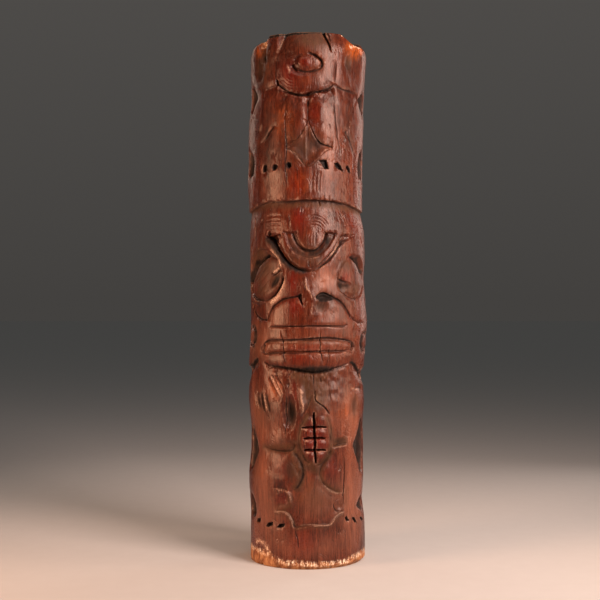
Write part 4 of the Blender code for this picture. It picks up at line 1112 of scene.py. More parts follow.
@dataclass
class DryingChecks:
    """The cracks that opened along the grain as the log dried."""

    depth: float = 3
    width: float = 1

    def carve(self, relief: Relief) -> None:
        """Args:
            relief: the pattern to cut.
        """
        checks: list[tuple[Points, float]] = [
            ([(-55, 1052), (-52, 1000), (-49, 940), (-50, 900), (-47, 860), (-44, 826)], 1.0),
            ([(62, 1066), (63, 1030), (68, 990), (74, 955), (80, 925), (83, 910)], 0.9),
            ([(66, 1142), (66, 1112), (65, 1083)], 1.0),
            ([(-44, 799), (-43, 780), (-43, 757)], 0.7),
            ([(-62, 541), (-60, 515), (-57, 500), (-55, 480), (-50, 452)], 1.2),
            ([(27, 540), (28, 510), (30, 485), (33, 468), (36, 455)], 1.3),
            ([(-50, 408), (-52, 362), (-52, 320), (-50, 286)], 1.2),
            ([(12, 440), (14, 425), (15, 408)], 0.9),
            ([(86, 264), (90, 236), (91, 200), (91, 165), (90, 122)], 1.6),
            ([(-30, 94), (-25, 74), (-20, 40)], 0.9),
            ([(48, 500), (49, 480), (50, 458)], 0.6),
            ([(-8, 300), (-7, 270), (-6, 246)], 0.5),
            ([(2, 690), (3, 682), (2, 672)], 0.8),
            ([(-119, 16), (-120, 6), (-121, -4)], 2.0),
            ([(120, 640), (124, 600), (122, 572)], 0.6),
            ([(-150, 800), (-148, 762), (-152, 730)], 0.8),
            ([(300, 1220), (305, 900), (298, 560)], 2.4),
            ([(-330, 820), (-322, 520), (-335, 160)], 2.0),
            ([(395, 420), (388, 200), (392, -20)], 2.2),
            ([(-262, 1220), (-268, 1080), (-260, 990)], 1.6),
            ([(250, 330), (256, 240), (252, 120)], 1.2),
        ]
        for seed, (points, strength) in enumerate(checks):
            relief.check(points, self.depth * strength, self.width * (0.6 + 0.4 * strength), seed)


@dataclass
class ToolMarks:
    """What the adze, gouges and knife left: broad flats, narrow scoops, fine facets and scored strokes."""

    adze: float = 0.9
    gouge: float = 0.4
    knife: float = 0.4
    stroke: float = 0.9
    ripple: float = 0.4
    groups: int = 260
    smoothed: tuple[tuple[Pair, Pair], ...] = (
        ((72, 400), (44, 54)), ((-40, 215), (34, 44)), ((62, 225), (34, 44)),
    )

    def carve(self, relief: Relief) -> None:
        """Lays three sizes of mark, faint on the smoothed arm and thighs, and scores the strokes.

        Args:
            relief: the pattern to cut.
        """
        calm = np.ones_like(relief.depth)
        for centre, radii in self.smoothed:
            patch, out = relief.oval(centre, radii, 0.0)
            calm[patch] *= np.clip(out, 0.2, 1.0)
        relief.depth += calm * relief.scoops(34.0, 78.0, self.adze, 7)
        patches = 0.55 + 0.45 * relief.unevenness((60.0, 90.0), 11)
        relief.depth += calm * patches * relief.scoops(12.0, 40.0, self.gouge, 21, 0.08)
        relief.depth += calm * (1.3 - patches) * relief.scoops(6.0, 15.0, self.knife, 22, -0.15)
        relief.depth += self.ripple * relief.unevenness((9.0, 14.0), 12)
        self.score(relief)

    def score(self, relief: Relief) -> None:
        """Scores groups of short side-by-side strokes over the front, most of them near the grain's way.

        Args:
            relief: the pattern to cut.
        """
        random = np.random.default_rng(31)
        for _ in range(self.groups):
            middle = np.array([random.uniform(-215.0, 215.0), random.uniform(20.0, 1180.0)])
            lean = math.radians(random.normal(0.0, 32.0))
            way = np.array([math.sin(lean), math.cos(lean)])
            beside = np.array([way[1], -way[0]])
            half, pitch = random.uniform(4.0, 14.0), random.uniform(3.2, 5.5)
            for place in range(random.integers(2, 6)):
                at = middle + beside * pitch * place + way * random.normal(0.0, 3.0)
                bow = beside * half * 0.12
                line = np.array([at - way * half, at + bow, at + way * half])
                relief.cut(line, self.stroke * random.uniform(0.5, 1.3), 1.4, pitch * 0.6,
                           ends=(half * 0.7, half * 0.7))


@dataclass
class Stains:
    """Where the finish is redder, rubbed pale or grimy, where shade, light and highlights are painted, and
    where the wood is bare.
    """

    def lay(self, relief: Relief) -> None:
        """Lays the soft tints that the wood's colour is mixed from.

        Args:
            relief: the pattern to stain.
        """
        for oval in (
            (-45, 1100, 44, 60, 20, 0.8), (-6, 1131, 26, 16, 0, 0.9), (16, 1020, 26, 50, 0, 0.7),
            (-25, 860, 28, 46, 0, 0.9), (-22, 780, 30, 50, 0, 0.9), (-35, 640, 26, 50, 0, 0.9),
            (-30, 585, 34, 36, 0, 1), (0, 495, 80, 16, 0, 0.7), (-20, 470, 50, 20, 0, 0.7),
            (18, 290, 44, 74, 0, 1), (-30, 390, 26, 44, 0, 0.7), (-58, 146, 28, 34, 0, 1),
            (-10, 60, 50, 44, 0, 0.7), (98, 652, 24, 20, 0, 0.8), (120, 770, 34, 40, 0, 0.4),
            (60, 225, 40, 50, 0, 0.5), (-60, 225, 34, 44, 0, 0.6), (-106, 647, 30, 20, 38, 1),
            (-140, 632, 22, 16, 38, 0.5),
        ):
            relief.tint("red", *oval)
        # Dust, and painted shade in the eye sockets, ear pockets, hollows and under the lip.
        for oval in (
            (-124, 1140, 40, 66, 0, 1), (105, 1138, 24, 30, 0, 0.9), (-130, 690, 50, 30, 32, 1),
            (-77, 646, 20, 28, -14, 0.9), (92, 632, 28, 20, -18, 0.9), (18, 400, 54, 70, 0, 1.5),
            (-112, 642, 60, 56, 30, 0.9), (-40, 350, 20, 44, 0, 0.9), (20, 160, 70, 60, 0, 0.7),
            (-10, 945, 60, 60, 0, 0.8), (0, 702, 60, 44, 0, 0.8), (32, 588, 26, 22, 0, 0.9),
            (-120, 350, 50, 60, 0, 0.5), (126, 362, 30, 44, 0, 0.7), (-55, 272, 50, 16, 0, 0.8),
            (78, 282, 32, 16, 0, 0.9), (-160, 480, 60, 60, 0, 0.3), (0, 1185, 64, 40, 0, 0.5),
            (10, 507, 110, 9, 0, 0.7), (-150, 220, 40, 80, 0, 0.4), (20, 438, 90, 14, 0, 1),
            (-148, 696, 50, 26, 34, 1.4), (-118, 1168, 14, 24, 0, 0.8), (150, 688, 40, 20, -34, 0.4),
            (96, 682, 34, 16, -10, 0.8), (130, 626, 40, 24, 20, 0.8), (-95, 678, 30, 40, 30, 0.6),
            (-30, 226, 30, 50, 10, 1.1), (18, 1182, 64, 40, 0, 0.9), (-62, 136, 26, 14, 0, 2),
        ):
            relief.tint("grime_and_shade", *oval)
        # Dust, and painted shade below the neck groove and along the elbow, leg, leaf and ridge outlines.
        neck = [(-200, 800), (-150, 805), (-118, 811), (-95, 814), (-45, 813), (0, 815), (60, 813),
                (110, 808), (200, 797)]
        relief.tint_along("grime_and_shade", neck, 12, 1, 2)
        for line in (
            ([(-124, 270), (-100, 267), (-58, 265), (-36, 272), (-26, 290)], 16, 1),
            ([(-36, 264), (-20, 248), (-11, 226), (-12, 206), (-20, 188), (-36, 175)], 13, 1.3),
            ([(62, 268), (47, 246), (34, 229), (29, 212), (33, 198), (42, 187), (56, 177), (86, 167)], 10,
             1.2),
            ([(4, 350), (-15, 316), (-20, 284), (-8, 249), (16, 230), (35, 238), (55, 271), (55, 308),
              (42, 344)], 10, 1.2),
            ([(-84, 122), (-52, 122), (-38, 108), (-28, 92), (8, 97), (50, 96), (70, 113), (94, 124)], 9,
             0.8),
            ([(56, 278), (76, 282), (106, 284)], 14, 1.2), ([(-44, 170), (-40, 150), (-42, 132)], 12, 1),
            ([(-10, 236), (18, 224), (46, 236)], 16, 1.2), ([(-40, 440), (0, 425), (40, 430)], 26, 0.9),
            ([(100, 130), (98, 170), (112, 176)], 12, 0.6),
        ):
            relief.tint_along("grime_and_shade", *line)
        # Painted shade and sooty colour in the eye pockets, nostrils, claw pits and hollows.
        for oval in (
            (-150, 682, 18, 16, 50, 2.2), (-112, 1168, 10, 22, 0, 0.9), (-116, 1150, 12, 16, 0, 0.6),
            (152, 688, 30, 12, -34, 0.3), (150, 676, 22, 14, -40, 0.9), (-38, 348, 18, 44, 0, 1.1),
            (36, 608, 28, 14, 0, 1.2), (20, 446, 74, 12, 0, 1.5), (-78, 643, 10, 20, -37, 1.3),
            (82, 634, 14, 16, 20, 0.9), (100, 633, 14, 9, 0, 0.8), (128, 360, 18, 40, 0, 0.7),
            (-118, 1115, 30, 50, 0, 0.5), (54, 296, 6, 24, 0, 0.8), (30, 588, 16, 14, 0, 0.5),
            (46, 736, 12, 18, -30, 0.8), (105, 1128, 18, 24, 0, 0.5), (20, 950, 34, 24, -30, 0.8),
            (-14, 930, 26, 34, 0, 0.6), (-50, 286, 40, 10, 0, 0.5), (78, 284, 26, 9, 0, 0.6),
            (-16, 345, 12, 20, 0, 0.4), (-120, 372, 24, 30, 0, 0.7), (45, 250, 12, 20, 0, 0.3),
            (-44, 222, 22, 40, 12, 0.6), (-150, 300, 20, 40, 0, 0.4), (0, 228, 20, 14, 0, 0.3),
        ):
            relief.tint("soot_and_shade", *oval)
        # Paler zones: fading, and painted light where the lamps fall brightest, on the lower sides, the
        # chest and the lit planes beside the nose and the limbs.
        for oval in (
            (-120, 110, 90, 110, 0, 1), (-122, 205, 50, 90, 0, 1.1), (125, 150, 80, 170, 0, 1),
            (-100, 300, 60, 60, 0, 0.6), (125, 330, 60, 110, 0, 1.1), (20, 160, 90, 80, 0, 0.65),
            (0, 50, 160, 50, 0, 0.6), (-150, 505, 70, 70, 0, 1.2), (-90, 505, 40, 60, 0, 0.6),
            (20, 500, 110, 56, 0, 0.5), (130, 500, 60, 80, 0, 0.2), (-86, 560, 26, 40, 0, 0.6),
            (-150, 340, 60, 110, 0, 1.1), (-166, 660, 40, 90, 0, 0.6), (60, 330, 40, 80, 0, 0.5),
            (46, 930, 34, 130, 0, 0.5), (60, 560, 50, 50, 0, 0.4), (40, 645, 46, 50, 0, 1),
            (-85, 400, 30, 40, -30, 0.7), (30, 1130, 30, 60, 0, 0.4),
        ):
            relief.tint("faded_and_lit", *oval)
        # Painted shade: broad darker zones, most of all over the upper left, where less light falls.
        for oval in (
            (-130, 1140, 70, 90, 0, 1.3), (-50, 1120, 70, 90, 0, 1), (-125, 960, 80, 150, 0, 1.2),
            (-45, 960, 50, 150, 0, 0.8), (120, 1000, 60, 150, 0, 0.5), (-130, 650, 70, 120, 0, 0.8),
            (120, 1130, 50, 80, 0, 0.6), (-30, 640, 50, 100, 0, 0.5), (-150, 500, 50, 90, 0, 0.7),
            (0, 400, 60, 60, 0, 0.4), (125, 640, 60, 90, 0, 0.4), (-180, 300, 60, 300, 0, 0.7),
        ):
            relief.tint("painted_shade", *oval)
        for oval in (
            (-132, 1176, 40, 32, 0, 2), (126, 1170, 50, 30, 12, 1.7), (150, 1180, 56, 20, 10, 1.2),
            (-112, 1120, 24, 50, 0, 0.4), (90, 350, 30, 24, 0, 0.3), (-80, 400, 24, 40, -30, 0.5),
            (-60, 1000, 40, 60, 0, 0.3), (-20, 860, 30, 40, 0, 0.3),
        ):
            relief.tint("amber", *oval)
        self.rub(relief)
        self.fill(relief)
        self.bare_foot(relief)
        self.bare_top(relief)

    def rub(self, relief: Relief) -> None:
        """Rubs pale the ridges and facets that hands and cloths reach first, and paints highlights on the
        lit ones: the lids, the brow, the cheek, the nose and chest ridges and the shoulder.

        Args:
            relief: the pattern to stain.
        """
        for line in (
            ([(-55, 646), (-60, 632), (-68, 616), (-80, 603), (-97, 592)], 8.5, 0.9),
            ([(-58, 642), (-64, 627), (-73, 612)], 3, 0.8),
            ([(-92, 716), (-86, 709), (-75, 700), (-67, 688), (-62, 672)], 4.5, 1.2),
            ([(-65, 674), (-75, 667), (-85, 661)], 4.5, 2.2),
            ([(-84, 124), (-66, 127), (-52, 126), (-42, 119), (-34, 105), (-28, 94)], 1.8, 0.5),
            ([(-20, 97), (8, 100), (50, 98), (70, 116), (92, 125)], 1.6, 0.45),
            ([(-92, 432), (-80, 412), (-70, 396), (-62, 384)], 3.4, 1.1),
            ([(-78, 424), (-68, 406), (-58, 388)], 2, 0.7), ([(-60, 432), (-76, 434), (-94, 436)], 3, 0.5),
            ([(-80, 178), (-52, 174), (-36, 170)], 2.2, 0.6), ([(-42, 170), (-38, 150)], 2.5, 0.5),
            ([(52, 698), (66, 712), (78, 728)], 4, 0.9), ([(-48, 1128), (-44, 1117), (-40, 1106)], 3, 0.6),
            ([(9, 976), (20, 962), (35, 950)], 2, 0.5),
            ([(-50, 938), (-30, 929), (-16, 914), (-8, 903)], 2.2, 0.5),
            ([(-22, 404), (-15, 398), (-14, 380), (-10, 360), (-15, 345)], 3, 0.7),
            ([(-104, 820), (-80, 822), (-54, 821)], 2, 0.7),
            ([(-62, 1192), (-68, 1172), (-74, 1152)], 5, 0.4),
            ([(38, 189), (60, 170), (98, 165)], 2.2, 0.3), ([(58, 270), (80, 272), (102, 273)], 1.6, 0.3),
            ([(-140, 388), (-134, 370), (-128, 352)], 3, 1),
            ([(-110, 392), (-106, 372), (-101, 352)], 2.5, 0.9),
            ([(112, 400), (130, 398), (150, 396)], 2.5, 0.7), ([(76, 154), (84, 153)], 4, 0.6),
            ([(-5, 652), (-3, 630), (4, 619), (8, 610), (10, 600)], 1.6, 0.7),
            ([(10, 598), (9, 580), (7, 562)], 1.6, 0.5), ([(-12, 312), (4, 311)], 2, 1.2),
            ([(-9, 287), (6, 287)], 2, 1.2), ([(-8, 260), (8, 260)], 2, 1.2),
            ([(-100, 505), (-60, 506), (-20, 508)], 2, 0.5),
        ):
            relief.tint_along("worn_and_highlight", *line)

    def fill(self, relief: Relief) -> None:
        """Blackens the cuts with sooty colour and old wax, and with painted shade in the eye creases, the
        boss rings and the deeper cuts.

        Args:
            relief: the pattern to stain.
        """
        for line in (
            ([(-196, 642), (-180, 652), (-168, 661), (-157, 672), (-143, 683), (-125, 691), (-108, 698),
              (-96, 703)], 6, 2.4),
            ([(-202, 646), (-186, 657), (-173, 667), (-160, 679), (-148, 688)], 12, 1.6),
            ([(-166, 541), (-154, 535), (-148, 519), (-153, 502), (-167, 496)], 11, 3),
            ([(166, 525), (154, 518), (150, 505), (155, 492), (167, 486)], 11, 3),
            ([(-133, 469), (-149, 461), (-165, 452), (-186, 445)], 6, 1.4),
            ([(108, 462), (125, 456), (140, 446), (157, 436)], 5, 1.2),
            ([(-146, 1062), (-160, 1078), (-180, 1092)], 6, 1.2),
            ([(-63, 669), (-74, 661), (-86, 654)], 2.5, 1.4),
            ([(-92, 628), (-80, 640), (-68, 656)], 7, 0.8),
            ([(71, 649), (80, 646), (91, 642), (103, 641)], 2.2, 1.1),
            ([(-119, 396), (-114, 372), (-107, 346)], 4, 1.8),
            ([(-103, 392), (-98, 370), (-91, 346)], 4, 1.5),
            ([(-131, 388), (-127, 370), (-122, 354)], 2.5, 0.7),
            ([(110, 698), (126, 693), (142, 685), (158, 674), (176, 661)], 7, 1.8),
            ([(130, 700), (142, 688), (152, 674), (157, 660)], 6, 1.6),
            ([(-168, 617), (-150, 608), (-134, 602), (-112, 599)], 5, 0.9),
            ([(-178, 600), (-163, 584), (-150, 569), (-134, 561), (-114, 556), (-99, 558)], 3.4, 1.2),
            ([(-112, 599), (-92, 604), (-76, 619), (-66, 635)], 2.4, 0.8),
            ([(-108, 743), (-81, 720), (-57, 689), (-26, 669), (0, 665)], 9, 1.5),
            ([(-35, 751), (-18, 721), (10, 711), (31, 724), (43, 751)], 4, 0.8),
            ([(36, 741), (44, 752)], 7, 0.8),
            ([(-2, 703), (18, 704), (34, 712), (48, 728), (56, 745)], 9, 0.9),
            ([(-42, 745), (-34, 722), (-20, 708), (-2, 703)], 9, 0.6),
            ([(20, 669), (50, 690), (75, 720), (100, 738)], 2.6, 0.9),
            ([(-97, 566), (-82, 587), (-58, 602), (-27, 608), (-13, 614)], 3, 1.1),
            ([(17, 605), (36, 616), (63, 605), (87, 590), (104, 566)], 3.4, 1.2),
            ([(-119, 492), (-97, 510), (-30, 512), (45, 517), (104, 508), (121, 494)], 3, 1.1),
            ([(-112, 479), (-60, 481), (0, 482)], 3, 0.6),
            ([(-94, 453), (-32, 446), (18, 440), (68, 448)], 6, 1),
            ([(-74, 1086), (-41, 1065), (-9, 1059), (28, 1067), (62, 1081)], 3.2, 1.1),
            ([(62, 1083), (82, 1076), (131, 1070)], 2.6, 0.9),
            ([(-102, 821), (-45, 821), (0, 823), (60, 821), (140, 809)], 2.6, 0.9),
            ([(20, 961), (32, 950), (58, 943)], 3, 1.1),
            ([(-2, 1153), (23, 1143), (34, 1129), (29, 1117), (0, 1110), (-26, 1116)], 2.6, 1.1),
            ([(-34, 1123), (-24, 1112)], 5, 1.1), ([(65, 145), (67, 131), (78, 124)], 2.6, 0.9),
            ([(-80, 992), (-89, 982), (-100, 968), (-109, 960)], 2.4, 1.1),
            ([(92, 985), (108, 966), (118, 950), (130, 932)], 3.2, 1),
            ([(-34, 262), (-20, 246), (-12, 226), (-12, 206), (-20, 188), (-30, 178)], 6, 0.9),
            ([(-95, 541), (0, 542.5), (80, 542)], 2.2, 0.9),
            ([(-100, 265), (-60, 262), (-36, 267)], 3, 0.7),
            ([(17, 402), (17, 388), (18, 377), (31, 366), (42, 358), (52, 343)], 2, 1.2),
        ):
            relief.tint_along("soot_and_shade", *line)

    def bare_foot(self, relief: Relief) -> None:
        """Bares the foot's scuffed edge: the tint is 0.5 where the bare wood starts and rises below that.

        Args:
            relief: the pattern to stain.
        """
        across = [-HALF_ROUND, -300, -190, -150, -95, -82, -68, -55, -20, 20, 60, 100, 112, 150, 200, 300,
                  HALF_ROUND]
        edge = [22, 26, 34, 33, 32, 26, 20, 16, 17, 14, 14, 15, 20, 24, 25, 20, 22]
        below = np.interp(relief.across, across, edge)[None, :] - relief.up[:, None]
        np.maximum(relief.layer("bare"), np.clip(0.5 + below / 34.0, 0.0, 1.0), out=relief.layer("bare"))
        scuff = [(-150, 44), (-138, 52), (-120, 51), (-104, 43), (-94, 37)]
        relief.tint_along("bare", scuff, 6, 0.5)
        relief.tint_along("worn_and_highlight", scuff, 7, 1.2)

    def bare_top(self, relief: Relief) -> None:
        """Bares the knocked corners over both ear blocks and the rim of the top.

        Args:
            relief: the pattern to stain.
        """
        relief.layer("end")
        bare = relief.layer("bare")
        near_top = ease((relief.up[:, None] - 1188.0) / 14.0)
        to_right = np.clip(relief.across / 60.0 - 0.9, 0.0, 1.0)[None, :]
        bare += 0.30 * near_top * to_right
        for oval in (
            (-132, 1184, 34, 20, 3, 0.8), (146, 1184, 50, 16, 12, 0.85), (108, 1176, 20, 9, -40, 0.5),
            (92, 1198, 24, 7, -8, 0.5),
        ):
            relief.tint("bare", *oval)


@dataclass(frozen=True)
class Pattern:
    """Noise in the wood: its features' width, its scale along the grain, its detail and its roughness."""

    width_mm: float
    along: float
    detail: float
    rough: float = 0.55

    def lay(self, tree: bpy.types.NodeTree, place: Socket) -> Socket:
        """Lays the pattern, drawn out along the grain.

        Args:
            tree: the finish's node tree.
            place: the Object coordinates.

        Returns:
            The pattern's value, about 0.5 on the whole.
        """
        turned = add(tree, "Mapping", place, (0.0, 0.0, 0.0), (0.0, 0.0, 0.0), (1.0, 1.0, self.along))
        return add(tree, "TexNoise", turned, MM_PER_METRE / self.width_mm, self.detail, self.rough)


@dataclass(frozen=True)
class StainedRedwood:
    """Old redwood under a dark red-brown oil stain and rubbed wax, carved by hand.

    It gives the eye deep red-brown forms with a dull satin sheen, upright grain, near-black cuts of sooty
    colour and painted shade, olive-brown hollows of dust and painted shade, painted shade over the upper
    left, tan rubbed ridges with painted highlights, paler zones with painted light, and orange bare wood
    with cream chips at the knocked ends.
    """

    # The soot colour also paints shade, the grime colour also paints shade in hollows, the faded colour also
    # paints light, and the worn colour also paints highlights.
    deep: str = "#200a05"
    warm: str = "#54200f"
    pale: str = "#783c24"
    red: str = "#5c0e04"
    grime_and_shade: str = "#3e2711"
    faded_and_lit: str = "#8e5c48"
    amber: str = "#b45a1c"
    soot_and_shade: str = "#060302"
    crack: str = "#1e0804"
    worn_and_highlight: str = "#cdaa94"
    bare: str = "#7c4826"
    fresh: str = "#bd8a5c"
    chip: str = "#f6e4cc"
    weathered: str = "#6b5240"
    grain: Pattern = Pattern(2.4, 0.05, 4.0)
    streaks: Pattern = Pattern(20.0, 0.14, 3.0)
    blotches: Pattern = Pattern(95.0, 0.5, 4.0)
    pores: Pattern = Pattern(0.9, 0.03, 2.0)
    nicks: Pattern = Pattern(3.2, 0.8, 3.0, 0.65)
    mottle: Pattern = Pattern(9.0, 0.5, 4.0, 0.65)
    jagged: Pattern = Pattern(7.0, 0.45, 5.0, 0.75)
    splinters: Pattern = Pattern(2.4, 0.16, 3.0, 0.7)
    veins: Pattern = Pattern(6.5, 0.09, 3.0, 0.6)
    ring_width_mm: float = 3.6

    def material(self) -> bpy.types.Material:
        """Builds the material.

        Returns:
            The material, mixed from the piece's own tints and patterns on Object coordinates.
        """
        m = bpy.data.materials.new("stained_redwood_waxed")
        m.use_nodes = True
        tree = m.node_tree
        shader = tree.nodes["Principled BSDF"]
        place = add(tree, "TexCoord", out="Object")
        grain, streaks, blotches, pores, nicks, mottle, jagged, splinters, veins = (
            pattern.lay(tree, place)
            for pattern in (self.grain, self.streaks, self.blotches, self.pores, self.nicks, self.mottle,
                            self.jagged, self.splinters, self.veins)
        )
        names = ("faded_and_lit", "painted_shade", "amber", "red", "grime_and_shade", "edge", "worn_and_highlight", "check", "hollow", "cavity",
                 "bare", "end")
        faded_and_lit, painted_shade, amber, red, grime_and_shade, edge, worn_and_highlight, check, hollow, cavity, bare, end = (
            add(tree, "Attribute", out="Fac", attribute_name=name) for name in names
        )
        dark_grain = add(tree, "MapRange", grain, 0.46, 0.68, 0.0, 0.66)

        # Bare wood, ragged at its edge, and still stained in the cuts.
        ragged = add(tree, "MapRange", jagged, 0.25, 0.75, -0.3, 0.3)
        bared = add(tree, "MapRange", add(tree, "Math", bare, ragged, operation="ADD"), 0.40, 0.62)
        open_wood = add(tree, "MapRange", cavity, 0.2, 0.7, 1.0, 0.15)
        bared = add(tree, "Math", bared, open_wood, operation="MULTIPLY")
        wood = self.layered(tree, self.bare, (
            (self.fresh, None, mottle, 0.42, 0.66, 0.0, 1.0),
            (self.deep, None, streaks, 0.5, 0.7, 0.0, 0.5),
        ))

        # Cream chips along the bare wood's rim.
        rim = add(tree, "Math", bare, 0.58, operation="SUBTRACT")
        rim = add(tree, "MapRange", add(tree, "Math", rim, operation="ABSOLUTE"), 0.08, 0.24, 1.0, 0.0)
        rim = add(tree, "Math", rim, add(tree, "MapRange", mottle, 0.42, 0.56), operation="MULTIPLY")
        flakes = add(tree, "Math", nicks, splinters, operation="ADD")

        # The sawn top, weathered, with rings and sooty checks.
        wave = (place, 100.0 * math.pi / self.ring_width_mm, 3.0, 2.0, 0.3)
        rings = add(tree, "TexWave", *wave, out="Fac", wave_type="RINGS", rings_direction="Z")
        sawn = self.layered(tree, self.weathered, (
            (self.deep, None, rings, 0.45, 0.95, 0.0, 0.5),
            (self.grime_and_shade, None, mottle, 0.40, 0.62, 0.0, 0.8),
            (self.soot_and_shade, None, check, 0.1, 0.9, 0.0, 1.0),
        ))

        # Stain, fading and painted light, dust, sooty cuts, painted shade, rubbed wear and painted
        # highlights, each laid over the one before.
        colour = self.layered(tree, self.deep, (
            (self.warm, None, streaks, 0.30, 0.70, 0.30, 1.0),
            (self.deep, None, blotches, 0.42, 0.62, 0.0, 0.45),
            (self.pale, None, mottle, 0.48, 0.74, 0.0, 0.40),
            # Paler zones: fading, and painted light on the lit planes and lower sides.
            (self.faded_and_lit, faded_and_lit, streaks, 0.35, 0.65, 0.45, 0.75),
            # Painted shade: darker over the upper left and other broad zones.
            (self.deep, painted_shade, mottle, 0.35, 0.65, 0.75, 0.35),
            (self.amber, amber, mottle, 0.35, 0.62, 0.1, 0.85),
            (self.red, red, blotches, 0.3, 0.6, 0.5, 0.9),
            (self.deep, dark_grain, faded_and_lit, 0.2, 1.0, 0.95, 0.45),
            (self.pale, None, splinters, 0.52, 0.68, 0.0, 0.30),
            (self.deep, None, veins, 0.50, 0.66, 0.0, 0.20),
            (self.faded_and_lit, None, veins, 0.34, 0.48, 0.12, 0.0),
            # Dust, and painted shade in hollows and along outlines.
            (self.grime_and_shade, grime_and_shade, mottle, 0.35, 0.62, 0.4, 0.8),
            (self.soot_and_shade, None, nicks, 0.58, 0.68, 0.0, 0.4),
            # Rubbed edges, and along the given ridges rubbed wear with painted highlights.
            (self.worn_and_highlight, edge, mottle, 0.48, 0.7, 0.0, 0.35),
            (self.worn_and_highlight, worn_and_highlight, nicks, 0.40, 0.58, 0.12, 0.88),
            (self.crack, None, check, 0.1, 0.9, 0.0, 0.8),
            # Painted shade in the creases and hollows, joined with the sooty colour of the cuts.
            (self.soot_and_shade, hollow, mottle, 0.35, 0.65, 0.9, 0.5),
            (self.soot_and_shade, cavity, mottle, 0.35, 0.65, 1.0, 0.75),
        ))
        colour = add(tree, "Mix", bared, colour, wood, data_type="RGBA")
        colour = self.layered(tree, colour, ((self.chip, rim, flakes, 0.97, 1.10, 0.0, 0.95),))
        colour = add(tree, "Mix", end, colour, sawn, data_type="RGBA")
        tree.links.new(colour, shader.inputs["Base Color"])

        # A satin sheen, dulled by dust, in cuts and on bare wood.
        rough = add(tree, "MapRange", blotches, 0.3, 0.7, 0.25, 0.35)
        for more in (
            add(tree, "MapRange", nicks, 0.3, 0.7, -0.06, 0.08),
            add(tree, "Math", grime_and_shade, 0.30, operation="MULTIPLY"),
            add(tree, "MapRange", cavity, 0.1, 1.0, 0.0, 0.45),
            add(tree, "Math", bared, 0.25, operation="MULTIPLY"),
            add(tree, "Math", end, 0.5, operation="MULTIPLY"),
        ):
            rough = add(tree, "Math", rough, more, operation="ADD")
        tree.links.new(rough, shader.inputs["Roughness"])

        # Raised grain, pores and nicks.
        height = add(tree, "Math", grain, 0.8, operation="MULTIPLY")
        for pattern, weight in ((pores, 0.12), (nicks, 0.28), (mottle, 0.28)):
            weighed = add(tree, "Math", pattern, weight, operation="MULTIPLY")
            height = add(tree, "Math", height, weighed, operation="ADD")
        tree.links.new(add(tree, "Bump", 0.75, 0.0010, None, height), shader.inputs["Normal"])
        shader.inputs["IOR"].default_value = 1.48
        shader.inputs["Specular IOR Level"].default_value = 0.27
        shader.inputs["Coat Weight"].default_value = 0.03
        shader.inputs["Coat Roughness"].default_value = 0.2
        return m

    def layered(self, tree: bpy.types.NodeTree, colour: str | Socket, layers: tuple[tuple, ...]) -> Socket:
        """Lays colours one over another.

        Args:
            tree: the finish's node tree.
            colour: the colour at the bottom.
            layers: each one's colour, a value that it is multiplied by or None, the value that it follows,
                that value's low and high ends, and how much of the colour is laid at each.

        Returns:
            The colour on top.
        """
        colour = linear(colour) if isinstance(colour, str) else colour
        for laid, where, *fit in layers:
            amount = add(tree, "MapRange", *fit)
            if where is not None:
                amount = add(tree, "Math", where, amount, operation="MULTIPLY")
            colour = add(tree, "Mix", amount, colour, linear(laid), data_type="RGBA")
        return colour


def add(
    tree: bpy.types.NodeTree, kind: str, *given: Socket | float | tuple | None, out: str | None = None,
    **settings: object
) -> Socket:
    """Adds a node.

    Args:
        tree: the node tree it goes into.
        kind: the node's type, without "ShaderNode".
        given: what its inputs take, in order: another node's output, which is linked, a value, or None
            to leave one as it is. An input that the settings put out of use isn't counted.
        out: the output's name, or None for the first one in use.
        settings: the node's own settings.

    Returns:
        The output.
    """
    node = tree.nodes.new(f"ShaderNode{kind}")
    for name, value in settings.items():
        setattr(node, name, value)
    for socket, value in zip([s for s in node.inputs if s.enabled], given):
        if isinstance(value, Socket):
            tree.links.new(value, socket)
        elif value is not None:
            socket.default_value = value
    return node.outputs[out] if out else next(s for s in node.outputs if s.enabled)


